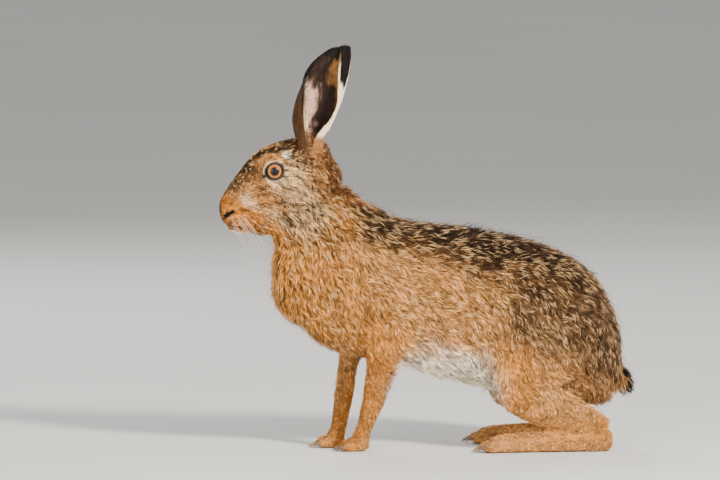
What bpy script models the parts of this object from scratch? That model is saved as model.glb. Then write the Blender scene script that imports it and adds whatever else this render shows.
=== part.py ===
"""A European brown hare, life size and still, half risen on straight forelegs with its haunches low.

Metres, +Z up. The hare looks along -X, its left side is -Y, and its feet stand on z = 0.
Sizes are written in millimetres and turned into metres by the makers below.
The solids reach out to the tips of the coat. The body is blended into one skin from lofted
forms, and thin cuts then part it into the pieces that a person would name.
"""

import math

import bmesh
import bpy
from mathutils import Matrix, Vector

MM = 0.001
GAP = 0.3

# How fine the blended body is, before and after it is thinned
VOXEL = 1.25
SOFTENING, EVENING = 20, 3
BODY_TRIANGLES = 7400
CARE_WEIGHT = 0.008
FACE_CARE, HEAD_CARE, BODY_CARE = 0.9, 0.4, 0.1
RING_SIDES = 28
RINGS_BETWEEN = 4
CUTTER_SIDES = 15
SHARP_ANGLE = 35

# Trunk, in upright sections: x, top, bottom, height of the widest place, half width
TRUNK = [
    (-171, 210, 172, 192, 12),
    (-167, 230, 158, 192, 24),
    (-156, 248, 145, 190, 35),
    (-140, 260, 135, 188, 43),
    (-115, 270, 114, 184, 51),
    (-88, 273, 104, 178, 55),
    (-60, 268, 98, 172, 58),
    (-30, 257, 92, 166, 60),
    (0, 251, 80, 160, 62),
    (40, 247, 71, 152, 64),
    (75, 240.5, 62, 146, 66),
    (105, 233.5, 56, 140, 67),
    (140, 221, 51, 130, 66),
    (168, 206, 48, 124, 60),
    (188, 188, 48, 118, 50),
    (203, 162, 52, 110, 38),
    (212, 136, 64, 102, 25),
    (216, 116, 84, 100, 12),
]

# Neck, in sections across its own line: x, z of the middle, half depth, half width
NECK = [
    (-140, 292, 36, 28),
    (-136, 270, 47, 33),
    (-120, 246, 56, 41),
    (-100, 222, 66, 48),
    (-80, 200, 72, 50),
]

# Head, in upright sections: x, top, bottom, height of the widest place, half width
HEAD = [
    (-229, 270, 262, 266, 3),
    (-227.5, 276.5, 257, 266, 7),
    (-224, 284, 251, 265, 10),
    (-217.5, 294, 246, 265, 12.8),
    (-209, 305.5, 243, 266, 15.2),
    (-199, 318.5, 240, 270, 17.8),
    (-189, 328.5, 237, 277, 20.5),
    (-178, 335.5, 236, 284, 23.5),
    (-166, 339.5, 236.5, 289, 26),
    (-152, 343, 240, 291, 28),
    (-138, 344.5, 247, 292, 29),
    (-124, 343, 258, 295, 28),
    (-112, 336, 272, 298, 25),
    (-102, 321, 287, 303, 17),
    (-96.5, 310, 297, 303, 8),
]
HEAD_POWER = 2.2

# Rounded forms set on the head: x, y, z of the middle, then the three half sizes
UPPER_LIP = (-213, 6.5, 256.5, 13, 8.2, 9.5)
MUZZLE_AT, MUZZLE_REACH = (-219, 0, 257), 20
BACK_OF_HEAD, UNDER_HEAD = -95, 235
SWELL_EDGE = 2.5
NOSE_PAD = (-222.5, 0, 268.5, 7, 9, 8.5)
CHIN = (-207, 0, 246, 13, 8, 7)

# Ear roots, in level sections: height, x and y of the middle, half length, half width
EAR_ROOT = [
    (300, -132, 8, 22, 15),
    (317, -130, 12, 23, 17),
    (329, -128.5, 14.5, 20, 16),
    (338, -127.5, 17, 16, 13.5),
    (344, -127, 18.5, 11, 10),
    (347.5, -126.5, 19, 6, 5),
]

# Soft swells and hollows worked into the blended body, alike on both sides:
# x, y, z of the middle, the reach of each, and how far it stands out
SWELLS = {
    "cheek": (-150, 25, 272, 22, 2.6),
    "jaw_angle": (-133, 22, 262, 15, 1.5),
    "tear_hollow": (-188, 18, 298, 9, -1.4),
    "brow": (-169, 20, 325, 8, 2.2),
    "under_eye": (-171, 24, 291, 8, 1.2),
    "temple": (-146, 24, 318, 11, -1.2),
    "nose_bridge_side": (-207, 14, 285, 11, -0.9),
    "lip_corner": (-197, 13, 246, 7, -1.2),
    "throat_hollow": (-158, 14, 236, 13, -1.6),
    "shoulder": (-78, 55, 196, 40, 4.0),
    "upper_arm": (-62, 46, 130, 26, 3.5),
    "elbow_hollow": (-20, 52, 118, 26, -3.5),
    "flank_hollow": (62, 64, 168, 34, -4.5),
    "ribs": (8, 62, 160, 45, 2.5),
    "hip": (150, 44, 208, 34, 2.5),
    "rump_side": (196, 44, 140, 30, 2.0),
}

# Eyes. The opening between the lids is an oval whose front corner hangs lower
EYE_X, EYE_Y, EYE_Z = -170.4, 16.2, 308.8
EYE_RADIUS = 12.2
LID_THICKNESS = 1.8
LID_INNER_SHARE, LID_EASE = 0.66, 0.8
EYE_OPENING = (10.4, 9.0)
EYE_OPENING_FLARE = 0.5
EYE_OPENING_IN, EYE_OPENING_OUT = 4, 12
EYE_REACH = 17
EYE_LEAN = 20

# Nostrils, the cleft under them and the mouth
NOSTRIL_AT, NOSTRIL_HALF = (-222.3, 8.6, 262.6), (6.0, 2.4, 1.5)
NOSTRIL_LEAN, NOSTRIL_TURN = 30, 34
MOUTH_LINE = [(-232, 255), (-223, 250.5), (-217, 248.5), (-210, 247), (-202, 246), (-194, 246.5), (-189, 249)]
MOUTH_HALF_GAP, MOUTH_HALF_WIDTH = 0.4, 40
MOUTH_CORE = ((-203, 0, 250), (17, 9, 15))
CLEFT_HALF_GAP = 0.4
CLEFT_FRONT, CLEFT_BACK = -240, -223.5

# Forelegs: x, z of the middle, half depth, half width, and how far out of the middle plane
FORELEG_LEFT = [
    (-46, 130, 26, 18, 30),
    (-50, 108, 21, 16, 28),
    (-53, 92, 17.5, 13.5, 26),
    (-57, 75, 15.5, 11.5, 25),
    (-61, 56, 13.5, 10.5, 24),
    (-66.5, 40, 11, 9.5, 23),
    (-71, 26, 9.5, 9, 22),
    (-76, 12, 10, 9.5, 22),
]
FORELEG_RIGHT = [
    (-74, 130, 22, 18, 30),
    (-80, 108, 15, 15, 28),
    (-84.5, 92, 12, 12.5, 26),
    (-87, 75, 11.5, 11.5, 25),
    (-89.5, 56, 11, 10.5, 24),
    (-92, 40, 10, 9.5, 23),
    (-94.5, 26, 9, 9, 22),
    (-98.5, 12, 10, 9.5, 22),
]
LEG_SIDES = ((-1, "left", FORELEG_LEFT), (1, "right", FORELEG_RIGHT))
FOREPAW_HALF = (17, 11, 9)
FOREPAW_AHEAD, FOREPAW_RISE = 5, 7
FORETOE_HALF = (9, 4, 6)
FORETOE_AHEAD, FORETOE_Z = 17, 5.5
FORETOES_OUT = (-8.4, -2.9, 2.9, 8.4)

# Hind legs, folded under the haunch: x, z of the middle, half depth, half width, out
THIGH = [
    (186, 158, 22, 13, 28),
    (170, 150, 40, 21, 38),
    (146, 132, 54, 27, 45),
    (118, 108, 45, 26, 49),
    (96, 90, 31, 22, 52),
    (80, 80, 20, 17, 53),
    (70, 75, 11, 11, 53),
]
SHANK = [
    (78, 76, 17, 15, 53),
    (104, 61, 25, 18, 53),
    (140, 46, 24, 18, 52),
    (172, 32, 19, 15, 51),
    (192, 22, 14, 13, 50),
]
HIND_FOOT = [
    (201, 13, 6, 8, 50),
    (194, 13, 14, 12.5, 50),
    (170, 12, 14, 13, 51),
    (140, 11, 13, 13.5, 52),
    (105, 10, 12.5, 14.5, 53),
    (80, 9, 11.5, 15.5, 54),
    (66, 8, 9, 15, 54.5),
]
HIND_TOE_HALF = (12, 4.6, 7.5)
HIND_TOES_OUT = (-11.4, -3.9, 3.9, 11.4)
HIND_TOE_X, HIND_TOE_Z = 61, 6.5

# Tail: x, z of the middle, half depth, half width
TAIL = [
    (191.5, 93, 10, 12),
    (203.5, 86, 13, 15),
    (212.5, 78, 13, 15.5),
    (219.5, 71, 11, 13),
    (224, 66, 7, 8.5),
    (226, 63.5, 3, 4),
]

# Claws
CLAW_LENGTH, CLAW_RADIUS, CLAW_TIP, CLAW_SIDES = 11, 1.5, 0.25, 5
CLAW_DROOP = 28
CLAW_SUNK, CLAW_LIFT = 2, 0.5
TOE_SET_BACK = 1.6

# Ears, in sections up their length: height, x of the middle, half width, and how far the front
# and the rear half curl round, in degrees. The left one is rolled, the right one more open.
EAR_LEFT = [
    (318, -129, 10.5, 172, 172),
    (340, -128.5, 13, 168, 165),
    (352, -127.5, 15, 156, 142),
    (364, -124, 17.8, 142, 114),
    (381, -120, 20.5, 130, 92),
    (398, -118, 20.2, 118, 80),
    (414, -116.5, 19, 104, 74),
    (426, -112.5, 16, 90, 68),
    (435, -107.5, 11.2, 76, 62),
    (441, -103.8, 6.8, 62, 56),
    (443.6, -102.5, 3.0, 50, 50),
]
EAR_RIGHT = [
    (318, -128, 10.5, 172, 172),
    (340, -126, 14, 164, 160),
    (352, -122, 18.8, 142, 130),
    (364, -118.5, 22.5, 120, 104),
    (381, -112.5, 24.5, 102, 86),
    (398, -107, 24, 92, 76),
    (414, -101.5, 21.8, 86, 72),
    (426, -96.5, 17.5, 78, 68),
    (435, -92, 12, 70, 62),
    (441, -88.5, 7.2, 60, 56),
    (443.5, -87, 3.2, 50, 50),
]
EAR_BACK_FOOT, EAR_BACK_TIP, EAR_BACK_BOW = 3, 22, 5
EAR_TURN = 8
EAR_THICKNESS = 2.4
EAR_ROWS, EAR_COLUMNS = 15, 12
EAR_TIP_CROWDING, EAR_BACK_SWEEP = 1.3, 1.4

# Where the body is parted
HEAD_CUT = ((-177, 236.5), (-95, 289.5))
NECK_CUT = ((-174, 192), (-46, 266))
SLOPE_CUTTER = 600
UNDER_FLOOR = -10
UNDER_SOLES = ((-300, -200, -80), (300, 200, 0))
ELBOW_HEIGHT, WRIST_HEIGHT = 97, 21
FORELEG_LOW = (-160, 1, UNDER_FLOOR)
FORELEG_BACK, FORELEG_OUTSIDE = -27, 90
HIND_INSIDE, HIND_OUTSIDE = 33, 130
ANKLE_HEIGHT, ANKLE_FRONT, ANKLE_BACK = 29, 20, 260
SHANK_OUTLINE = [(57, -10), (57, 96), (215, 33), (260, 33), (260, -10)]
HAUNCH_OUTLINE = [
    (54, 20),
    (59, 90),
    (74, 127),
    (97, 162),
    (126, 187),
    (156, 195),
    (184, 181),
    (199, 150),
    (203, 108),
    (200, 60),
    (190, 20),
]
RUMP_FRONT = 72
RUMP_LOW, RUMP_HIGH = (-200, -50), (400, 200, 400)

# Principled colour, roughness and metallic value of each finish
FINISHES = {
    "coat_tan": ((0.56, 0.36, 0.19), 0.85, 0.0),
    "coat_back": ((0.26, 0.18, 0.11), 0.85, 0.0),
    "ear_hide": ((0.45, 0.33, 0.22), 0.8, 0.0),
    "tail_black": ((0.05, 0.04, 0.035), 0.85, 0.0),
    "eye_amber": ((0.42, 0.2, 0.05), 0.08, 0.0),
}


def clear_scene():
    for old in list(bpy.data.objects):
        bpy.data.objects.remove(old, do_unlink=True)


def new_collection(name):
    made = bpy.data.collections.new(name)
    bpy.context.scene.collection.children.link(made)
    return made


def new_object(name, mesh, collection):
    made = bpy.data.objects.new(name, mesh)
    collection.objects.link(made)
    return made


def finished_mesh(name, bm):
    """The bmesh as a mesh, with its faces turned out."""
    bmesh.ops.recalc_face_normals(bm, faces=bm.faces)
    if bm.calc_volume(signed=True) < 0:
        bmesh.ops.reverse_faces(bm, faces=bm.faces)
    mesh = bpy.data.meshes.new(name)
    bm.to_mesh(mesh)
    bm.free()
    return mesh


def evaluated_mesh(obj):
    """The object's mesh with its modifiers applied."""
    bpy.context.view_layer.update()
    graph = bpy.context.evaluated_depsgraph_get()
    return bpy.data.meshes.new_from_object(obj.evaluated_get(graph))


def apply_modifiers(obj):
    """Puts the evaluated mesh in place of the object's own and drops its modifiers."""
    mesh = evaluated_mesh(obj)
    obj.modifiers.clear()
    old = obj.data
    obj.data = mesh
    bpy.data.meshes.remove(old)


def smooth_between(rows, steps):
    """The rows with steps - 1 more between each two, on a Catmull-Rom curve through them."""
    found = []
    last = len(rows) - 1
    for i in range(last):
        before, here, after, beyond = (rows[max(0, min(last, i + k))] for k in (-1, 0, 1, 2))
        for step in range(steps):
            t = step / steps
            point = []
            for a, b, c, d in zip(before, here, after, beyond):
                bend = 2 * a - 5 * b + 4 * c - d
                swing = 3 * b - a - 3 * c + d
                point.append(0.5 * (2 * b + (c - a) * t + bend * t**2 + swing * t**3))
            found.append(tuple(point))
    found.append(tuple(rows[last]))
    return found


def closed_curve(rows, steps):
    """The same round a closed outline."""
    return smooth_between([rows[-1], *rows, rows[0], rows[1]], steps)[steps : -steps - 1]


def fuller(share, power):
    """A sine or cosine drawn towards its ends, which turns an oval fuller at its corners."""
    return math.copysign(abs(share) ** (2 / power), share)


def ring_points(middle, side, rise, half_width, up, down, power=2):
    """Points round an egg-shaped section: up and down are its half heights over and under the middle."""
    points = []
    for k in range(RING_SIDES):
        turn = 2 * math.pi * (k + 0.5) / RING_SIDES
        across, height = fuller(math.cos(turn), power), fuller(math.sin(turn), power)
        height *= up if height > 0 else down
        points.append((middle + side * (half_width * across) + rise * height) * MM)
    return points


def loft(name, rings, collection):
    """A closed body through rings of points, bridged one to the next and capped."""
    bm = bmesh.new()
    loops = []
    for points in rings:
        corners = [bm.verts.new(point) for point in points]
        loops.append([bm.edges.new((a, b)) for a, b in zip(corners, corners[1:] + corners[:1])])
    for first, second in zip(loops, loops[1:]):
        bmesh.ops.bridge_loops(bm, edges=first + second)
    for end in (loops[0], loops[-1]):
        bmesh.ops.edgeloop_fill(bm, edges=end)
    return new_object(name, finished_mesh(name, bm), collection)


def upright_form(name, rows, collection, power=2):
    """A form in upright sections across X, set on the middle plane."""
    side, rise = Vector((0, 1, 0)), Vector((0, 0, 1))
    rings = []
    for x, top, bottom, widest, half_width in smooth_between(rows, RINGS_BETWEEN):
        middle = Vector((x, 0, widest))
        rings.append(ring_points(middle, side, rise, half_width, top - widest, widest - bottom, power))
    return loft(name, rings, collection)


def level_form(name, rows, collection, side):
    """A form in level sections, on one side of the middle plane."""
    ahead, across = Vector((1, 0, 0)), Vector((0, 1, 0))
    rings = []
    for z, x, y, half_length, half_width in smooth_between(rows, RINGS_BETWEEN):
        middle = Vector((x, side * y, z))
        rings.append(ring_points(middle, ahead, across, half_length, half_width, half_width))
    return loft(name, rings, collection)


def limb_form(name, rows, collection, side=1, steps=RINGS_BETWEEN):
    """A limb in sections across its own line: rows of x, z, half depth, half width and y off the middle."""
    fine = smooth_between(rows, steps)
    middles = [Vector((row[0], side * (row[4] if len(row) > 4 else 0), row[1])) for row in fine]
    rings = []
    for i, (row, middle) in enumerate(zip(fine, middles)):
        along = (middles[min(i + 1, len(fine) - 1)] - middles[max(i - 1, 0)]).normalized()
        across = (Vector((0, 1, 0)) - along * along.y).normalized()
        deep = along.cross(across)
        rings.append(ring_points(middle, across, deep, row[3], row[2], row[2]))
    return loft(name, rings, collection)


def egg(name, place, half, collection, sides=24):
    """An ellipsoid with those half sizes."""
    bm = bmesh.new()
    bmesh.ops.create_uvsphere(bm, u_segments=sides, v_segments=sides * 2 // 3, radius=1.0)
    size = Matrix.Diagonal((*[h * MM for h in half], 1))
    bm.transform(Matrix.Translation(Vector(place) * MM) @ size)
    return new_object(name, finished_mesh(name, bm), collection)


def toe_x(x, offset):
    """The outer toes stand a little behind the middle ones."""
    return x + TOE_SET_BACK * math.sqrt(abs(offset))


def make_toes(name, x, z, out, spread, half, collection, side):
    for number, offset in enumerate(spread):
        egg(f"{name}_{number}", (toe_x(x, offset), side * (out + offset), z), half, collection)


def body_forms(collection):
    """Every form of flesh and coat, overlapping, before they are blended."""
    upright_form("trunk_form", TRUNK, collection)
    limb_form("neck_form", NECK, collection)
    upright_form("head_form", HEAD, collection, HEAD_POWER)
    egg("nose_pad", NOSE_PAD[:3], NOSE_PAD[3:], collection)
    egg("chin", CHIN[:3], CHIN[3:], collection)
    for side, hand, rows in LEG_SIDES:
        lip_x, lip_y, lip_z, *lip_half = UPPER_LIP
        egg(f"upper_lip_{hand}", (lip_x, side * lip_y, lip_z), lip_half, collection)
        level_form(f"ear_root_{hand}", EAR_ROOT, collection, side)
        limb_form(f"foreleg_form_{hand}", rows, collection, side)
        wrist_x, out = rows[-1][0], rows[-1][4]
        paw_at = (wrist_x - FOREPAW_AHEAD, side * out, FOREPAW_RISE)
        egg(f"forepaw_form_{hand}", paw_at, FOREPAW_HALF, collection)
        toes = (wrist_x - FORETOE_AHEAD, FORETOE_Z, out, FORETOES_OUT, FORETOE_HALF)
        make_toes(f"foretoe_{hand}", *toes, collection, side)
        limb_form(f"thigh_form_{hand}", THIGH, collection, side)
        limb_form(f"shank_form_{hand}", SHANK, collection, side)
        limb_form(f"hind_foot_form_{hand}", HIND_FOOT, collection, side)
        toes = (HIND_TOE_X, HIND_TOE_Z, HIND_FOOT[-1][4], HIND_TOES_OUT, HIND_TOE_HALF)
        make_toes(f"hind_toe_{hand}", *toes, collection, side)


def joined_mesh(name, objects):
    """One mesh that holds every object's faces, still overlapping."""
    bm = bmesh.new()
    for obj in objects:
        mesh = evaluated_mesh(obj)
        mesh.transform(obj.matrix_world)
        bm.from_mesh(mesh)
        bpy.data.meshes.remove(mesh)
    mesh = bpy.data.meshes.new(name)
    bm.to_mesh(mesh)
    bm.free()
    return mesh


def care_of(point):
    """How much of its fineness a place keeps in the thinning: most round the eyes, nose and mouth."""
    x, y, z = (c / MM for c in point)
    eye = math.dist((x, abs(y), z), (EYE_X, EYE_Y + EYE_RADIUS / 2, EYE_Z))
    if eye < EYE_REACH or math.dist((x, y, z), MUZZLE_AT) < MUZZLE_REACH:
        return FACE_CARE
    return HEAD_CARE if x < BACK_OF_HEAD and z > UNDER_HEAD else BODY_CARE


def swell_body(mesh):
    """Works the soft swells and hollows into the skin."""
    outward = [vertex.normal.copy() for vertex in mesh.vertices]
    for vertex, normal in zip(mesh.vertices, outward):
        x, y, z = (c / MM for c in vertex.co)
        lift = 0
        for at_x, at_y, at_z, reach, height in SWELLS.values():
            distance = math.dist((x, abs(y), z), (at_x, at_y, at_z)) / reach
            if distance < SWELL_EDGE:
                lift += height * math.exp(-distance * distance)
        vertex.co += normal * (lift * MM)


def draw_over_eyes(mesh):
    """Draws the skin over each eyeball as a thin dome, which the lids are then cut from."""
    over = (EYE_RADIUS + LID_THICKNESS) * MM
    for vertex in mesh.vertices:
        side = math.copysign(1, vertex.co.y)
        middle = Vector((EYE_X, side * EYE_Y, EYE_Z)) * MM
        out = vertex.co - middle
        across = math.hypot(out.x, out.z) / over
        if across > 1 or out.y * side < 0:
            continue
        share = 1.0
        if out.length > over:
            outer_share = max(0, (across - LID_INNER_SHARE) / (1 - LID_INNER_SHARE))
            share = 1 - outer_share**LID_EASE
        vertex.co = vertex.co.lerp(middle + out * (over / out.length), share)


def blended_body(forms, collection):
    """One smooth closed skin round all the forms, thinned to BODY_TRIANGLES."""
    body = new_object("body", joined_mesh("body", forms.objects), collection)
    blend = body.modifiers.new("Blend", "REMESH")
    blend.mode = "VOXEL"
    blend.voxel_size = VOXEL * MM
    apply_modifiers(body)

    soft = body.vertex_groups.new(name="soft")
    fine = body.vertex_groups.new(name="fine")
    for vertex in body.data.vertices:
        care = care_of(vertex.co)
        soft.add([vertex.index], 1.0 - 0.5 * care, "REPLACE")
        fine.add([vertex.index], care, "REPLACE")
    smooth = body.modifiers.new("Soften", "SMOOTH")
    smooth.factor = 0.5
    smooth.iterations = SOFTENING
    smooth.vertex_group = "soft"
    apply_modifiers(body)
    swell_body(body.data)
    draw_over_eyes(body.data)
    even = body.modifiers.new("Even", "SMOOTH")
    even.factor = 0.5
    even.iterations = EVENING
    thin = body.modifiers.new("Thin", "DECIMATE")
    thin.ratio = min(1.0, BODY_TRIANGLES / (2 * len(body.data.polygons)))
    thin.vertex_group = "fine"
    thin.invert_vertex_group = True
    thin.vertex_group_factor = CARE_WEIGHT
    thin.use_collapse_triangulate = True
    apply_modifiers(body)
    body.vertex_groups.clear()
    return body


def largest_shell(mesh):
    """Keeps the mesh's largest closed surface, and drops scraps that a cut leaves."""
    bm = bmesh.new()
    bm.from_mesh(mesh)
    left = set(bm.verts)
    shells = []
    while left:
        seed = left.pop()
        shell, todo = {seed}, [seed]
        while todo:
            vertex = todo.pop()
            near = {edge.other_vert(vertex) for edge in vertex.link_edges} - shell
            shell |= near
            todo.extend(near)
        left -= shell
        shells.append(shell)
    shells.sort(key=len)
    bmesh.ops.delete(bm, geom=[vertex for shell in shells[:-1] for vertex in shell], context="VERTS")
    bm.to_mesh(mesh)
    bm.free()


def boolean(obj, cutter, operation):
    cut = obj.modifiers.new("Cut", "BOOLEAN")
    cut.object = cutter
    cut.operation = operation
    cut.solver = "EXACT"
    apply_modifiers(obj)
    largest_shell(obj.data)


def box_region(name, low, high, collection):
    bm = bmesh.new()
    bmesh.ops.create_cube(bm, size=1.0)
    size = Vector(high) - Vector(low)
    middle = (Vector(high) + Vector(low)) / 2
    bm.transform(Matrix.Translation(middle * MM) @ Matrix.Diagonal((*(size * MM), 1)))
    return as_cutter(new_object(name, finished_mesh(name, bm), collection))


def slope_region(name, line, collection, lift):
    """All that lies over a sloping cut through two points, each x and z, raised by lift."""
    start, end = (Vector((x, 0, z)) for x, z in line)
    along = (end - start).normalized()
    up = Vector((-along.z, 0, along.x))
    bm = bmesh.new()
    bmesh.ops.create_cube(bm, size=SLOPE_CUTTER * MM)
    turned = Matrix.Rotation(-math.atan2(along.z, along.x), 4, "Y")
    bm.transform(Matrix.Translation(((start + end) / 2 + up * (SLOPE_CUTTER / 2 + lift)) * MM) @ turned)
    return as_cutter(new_object(name, finished_mesh(name, bm), collection))


def prism_region(name, outline, side, grow, collection):
    """What lies on one side of the middle, in an outline of x and z, past the inner face of the hind legs."""
    inner, outer = side * (HIND_INSIDE - grow) * MM, side * HIND_OUTSIDE * MM
    count = len(outline)
    corners = []
    for i, (x, z) in enumerate(outline):
        (x0, z0), (x1, z1) = outline[i - 1], outline[(i + 1) % count]
        out = Vector((z0 - z1, x1 - x0)).normalized() * grow
        corners.append(((x + out.x) * MM, (z + out.y) * MM))
    bm = bmesh.new()
    face = bm.faces.new([bm.verts.new((x, inner, z)) for x, z in corners])
    walls = bmesh.ops.extrude_face_region(bm, geom=[face])["geom"]
    moved = [item for item in walls if isinstance(item, bmesh.types.BMVert)]
    bmesh.ops.translate(bm, verts=moved, vec=(0, outer - inner, 0))
    return as_cutter(new_object(name, finished_mesh(name, bm), collection))


def as_cutter(obj):
    obj.hide_render = True
    obj.display_type = "WIRE"
    return obj


def part_off(body, name, region, parts, cutters):
    """Takes what lies in a region off the body as a node of its own, with a thin gap left between them.
    region is a maker of the cutter, given its name and how far to grow it."""
    piece = new_object(name, body.data.copy(), parts)
    boolean(piece, region(f"{name}_in", 0), "INTERSECT")
    boolean(body, region(f"{name}_out", GAP), "DIFFERENCE")
    return piece


def side_box(side, low, high, collection):
    """A maker of box cutters, for one side of the body, which grow on every face."""

    def make(name, grow):
        inner, outer = low[1] - grow, high[1] + grow
        ys = (inner, outer) if side > 0 else (-outer, -inner)
        return box_region(
            name,
            (low[0] - grow, ys[0], low[2] - grow),
            (high[0] + grow, ys[1], high[2] + grow),
            collection,
        )

    return make


def part_body(body, parts, cutters):
    """Parts the body into its nodes, from the ends inwards."""
    boolean(body, box_region("under_soles", *UNDER_SOLES, cutters), "DIFFERENCE")
    nodes = {}
    nodes["head"] = part_off(
        body, "head", lambda name, grow: slope_region(name, HEAD_CUT, cutters, -grow), parts, cutters
    )
    nodes["neck"] = part_off(
        body, "neck", lambda name, grow: slope_region(name, NECK_CUT, cutters, -grow), parts, cutters
    )
    for side, hand in ((-1, "left"), (1, "right")):
        paw = side_box(side, FORELEG_LOW, (FORELEG_BACK, FORELEG_OUTSIDE, WRIST_HEIGHT), cutters)
        nodes[f"forepaw_{hand}"] = part_off(body, f"forepaw_{hand}", paw, parts, cutters)
        leg = side_box(side, FORELEG_LOW, (FORELEG_BACK, FORELEG_OUTSIDE, ELBOW_HEIGHT), cutters)
        nodes[f"foreleg_{hand}"] = part_off(body, f"foreleg_{hand}", leg, parts, cutters)
        low, high = (ANKLE_FRONT, HIND_INSIDE, UNDER_FLOOR), (ANKLE_BACK, HIND_OUTSIDE, ANKLE_HEIGHT)
        foot = side_box(side, low, high, cutters)
        nodes[f"hind_foot_{hand}"] = part_off(body, f"hind_foot_{hand}", foot, parts, cutters)
        for piece, outline in (("hind_shank", SHANK_OUTLINE), ("thigh", closed_curve(HAUNCH_OUTLINE, 3))):
            nodes[f"{piece}_{hand}"] = part_off(
                body,
                f"{piece}_{hand}",
                lambda name, grow: prism_region(name, outline, side, grow, cutters),
                parts,
                cutters,
            )
    nodes["rump"] = part_off(
        body,
        "rump",
        lambda name, grow: box_region(name, (RUMP_FRONT - grow, *RUMP_LOW), RUMP_HIGH, cutters),
        parts,
        cutters,
    )
    body.name = "torso"
    cutters.objects.unlink(body)
    parts.objects.link(body)
    nodes["torso"] = body
    return nodes


def eyeball(name, side, radius, collection):
    bm = bmesh.new()
    bmesh.ops.create_uvsphere(bm, u_segments=18, v_segments=10, radius=radius * MM)
    facing_out = Matrix.Rotation(math.radians(90), 4, "X")
    bm.transform(Matrix.Translation(Vector((EYE_X, side * EYE_Y, EYE_Z)) * MM) @ facing_out)
    return new_object(name, finished_mesh(name, bm), collection)


def eye_opening(name, side, collection):
    """A flaring oval plug, from inside the eyeball out, which parts the lids."""
    half_long, half_high = EYE_OPENING
    rim = EYE_Y + math.sqrt(EYE_RADIUS**2 - half_long**2)
    inner, outer = rim - EYE_OPENING_IN, rim + EYE_OPENING_OUT
    narrow, wide = (1 + EYE_OPENING_FLARE * (y - rim) / half_long for y in (inner, outer))
    bm = bmesh.new()
    bmesh.ops.create_cone(bm, cap_ends=True, segments=24, radius1=narrow, radius2=wide, depth=1)
    stand = Matrix.Rotation(math.radians(-side * 90), 4, "X")
    size = Matrix.Diagonal((half_long * MM, (outer - inner) * MM, half_high * MM, 1))
    lean = Matrix.Rotation(math.radians(-EYE_LEAN), 4, "Y")
    middle = Vector((EYE_X, side * (inner + outer) / 2, EYE_Z))
    bm.transform(Matrix.Translation(middle * MM) @ lean @ size @ stand)
    return as_cutter(new_object(name, finished_mesh(name, bm), collection))


def nostril_slit(name, side, collection):
    slit = egg(name, (0, 0, 0), NOSTRIL_HALF, collection, CUTTER_SIDES)
    x, y, z = NOSTRIL_AT
    turn = Matrix.Rotation(math.radians(side * NOSTRIL_TURN), 4, "Z")
    lean = Matrix.Rotation(math.radians(-NOSTRIL_LEAN), 4, "Y")
    slit.data.transform(Matrix.Translation(Vector((x, side * y, z)) * MM) @ turn @ lean)
    return as_cutter(slit)


def mouth_slot(collection):
    """A thin curved slot along the mouth, less a core inside the muzzle where the flesh stays whole."""
    rows = smooth_between(MOUTH_LINE, 2)
    steps = [Vector((b[0] - a[0], 0, b[1] - a[1])).normalized() for a, b in zip(rows, rows[1:])]
    rings = []
    for (x, z), along in zip(rows, steps + steps[-1:]):
        up = Vector((-along.z, 0, along.x)) * MOUTH_HALF_GAP
        corners = ((-1, -1), (1, -1), (1, 1), (-1, 1))
        rings.append([(Vector((x, MOUTH_HALF_WIDTH * j, z)) + up * k) * MM for j, k in corners])
    slot = as_cutter(loft("mouth_slot", rings, collection))
    core = as_cutter(egg("mouth_core", *MOUTH_CORE, collection, CUTTER_SIDES))
    cut = slot.modifiers.new("Cut", "BOOLEAN")
    cut.object = core
    cut.operation = "DIFFERENCE"
    apply_modifiers(slot)
    return slot


def carve_face(head, cutters):
    """Cuts the eye sockets, the nostrils, the cleft and the line of the mouth."""
    for side, hand in ((-1, "left"), (1, "right")):
        boolean(head, eye_opening(f"opening_{hand}", side, cutters), "DIFFERENCE")
        boolean(head, as_cutter(eyeball(f"socket_{hand}", side, EYE_RADIUS + GAP, cutters)), "DIFFERENCE")
        boolean(head, nostril_slit(f"nostril_{hand}", side, cutters), "DIFFERENCE")
    boolean(head, mouth_slot(cutters), "DIFFERENCE")
    low = (CLEFT_FRONT, -CLEFT_HALF_GAP, MOUTH_LINE[1][1] + 2)
    high = (CLEFT_BACK, CLEFT_HALF_GAP, NOSTRIL_AT[2] - 1)
    boolean(head, box_region("cleft", low, high, cutters), "DIFFERENCE")


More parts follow.
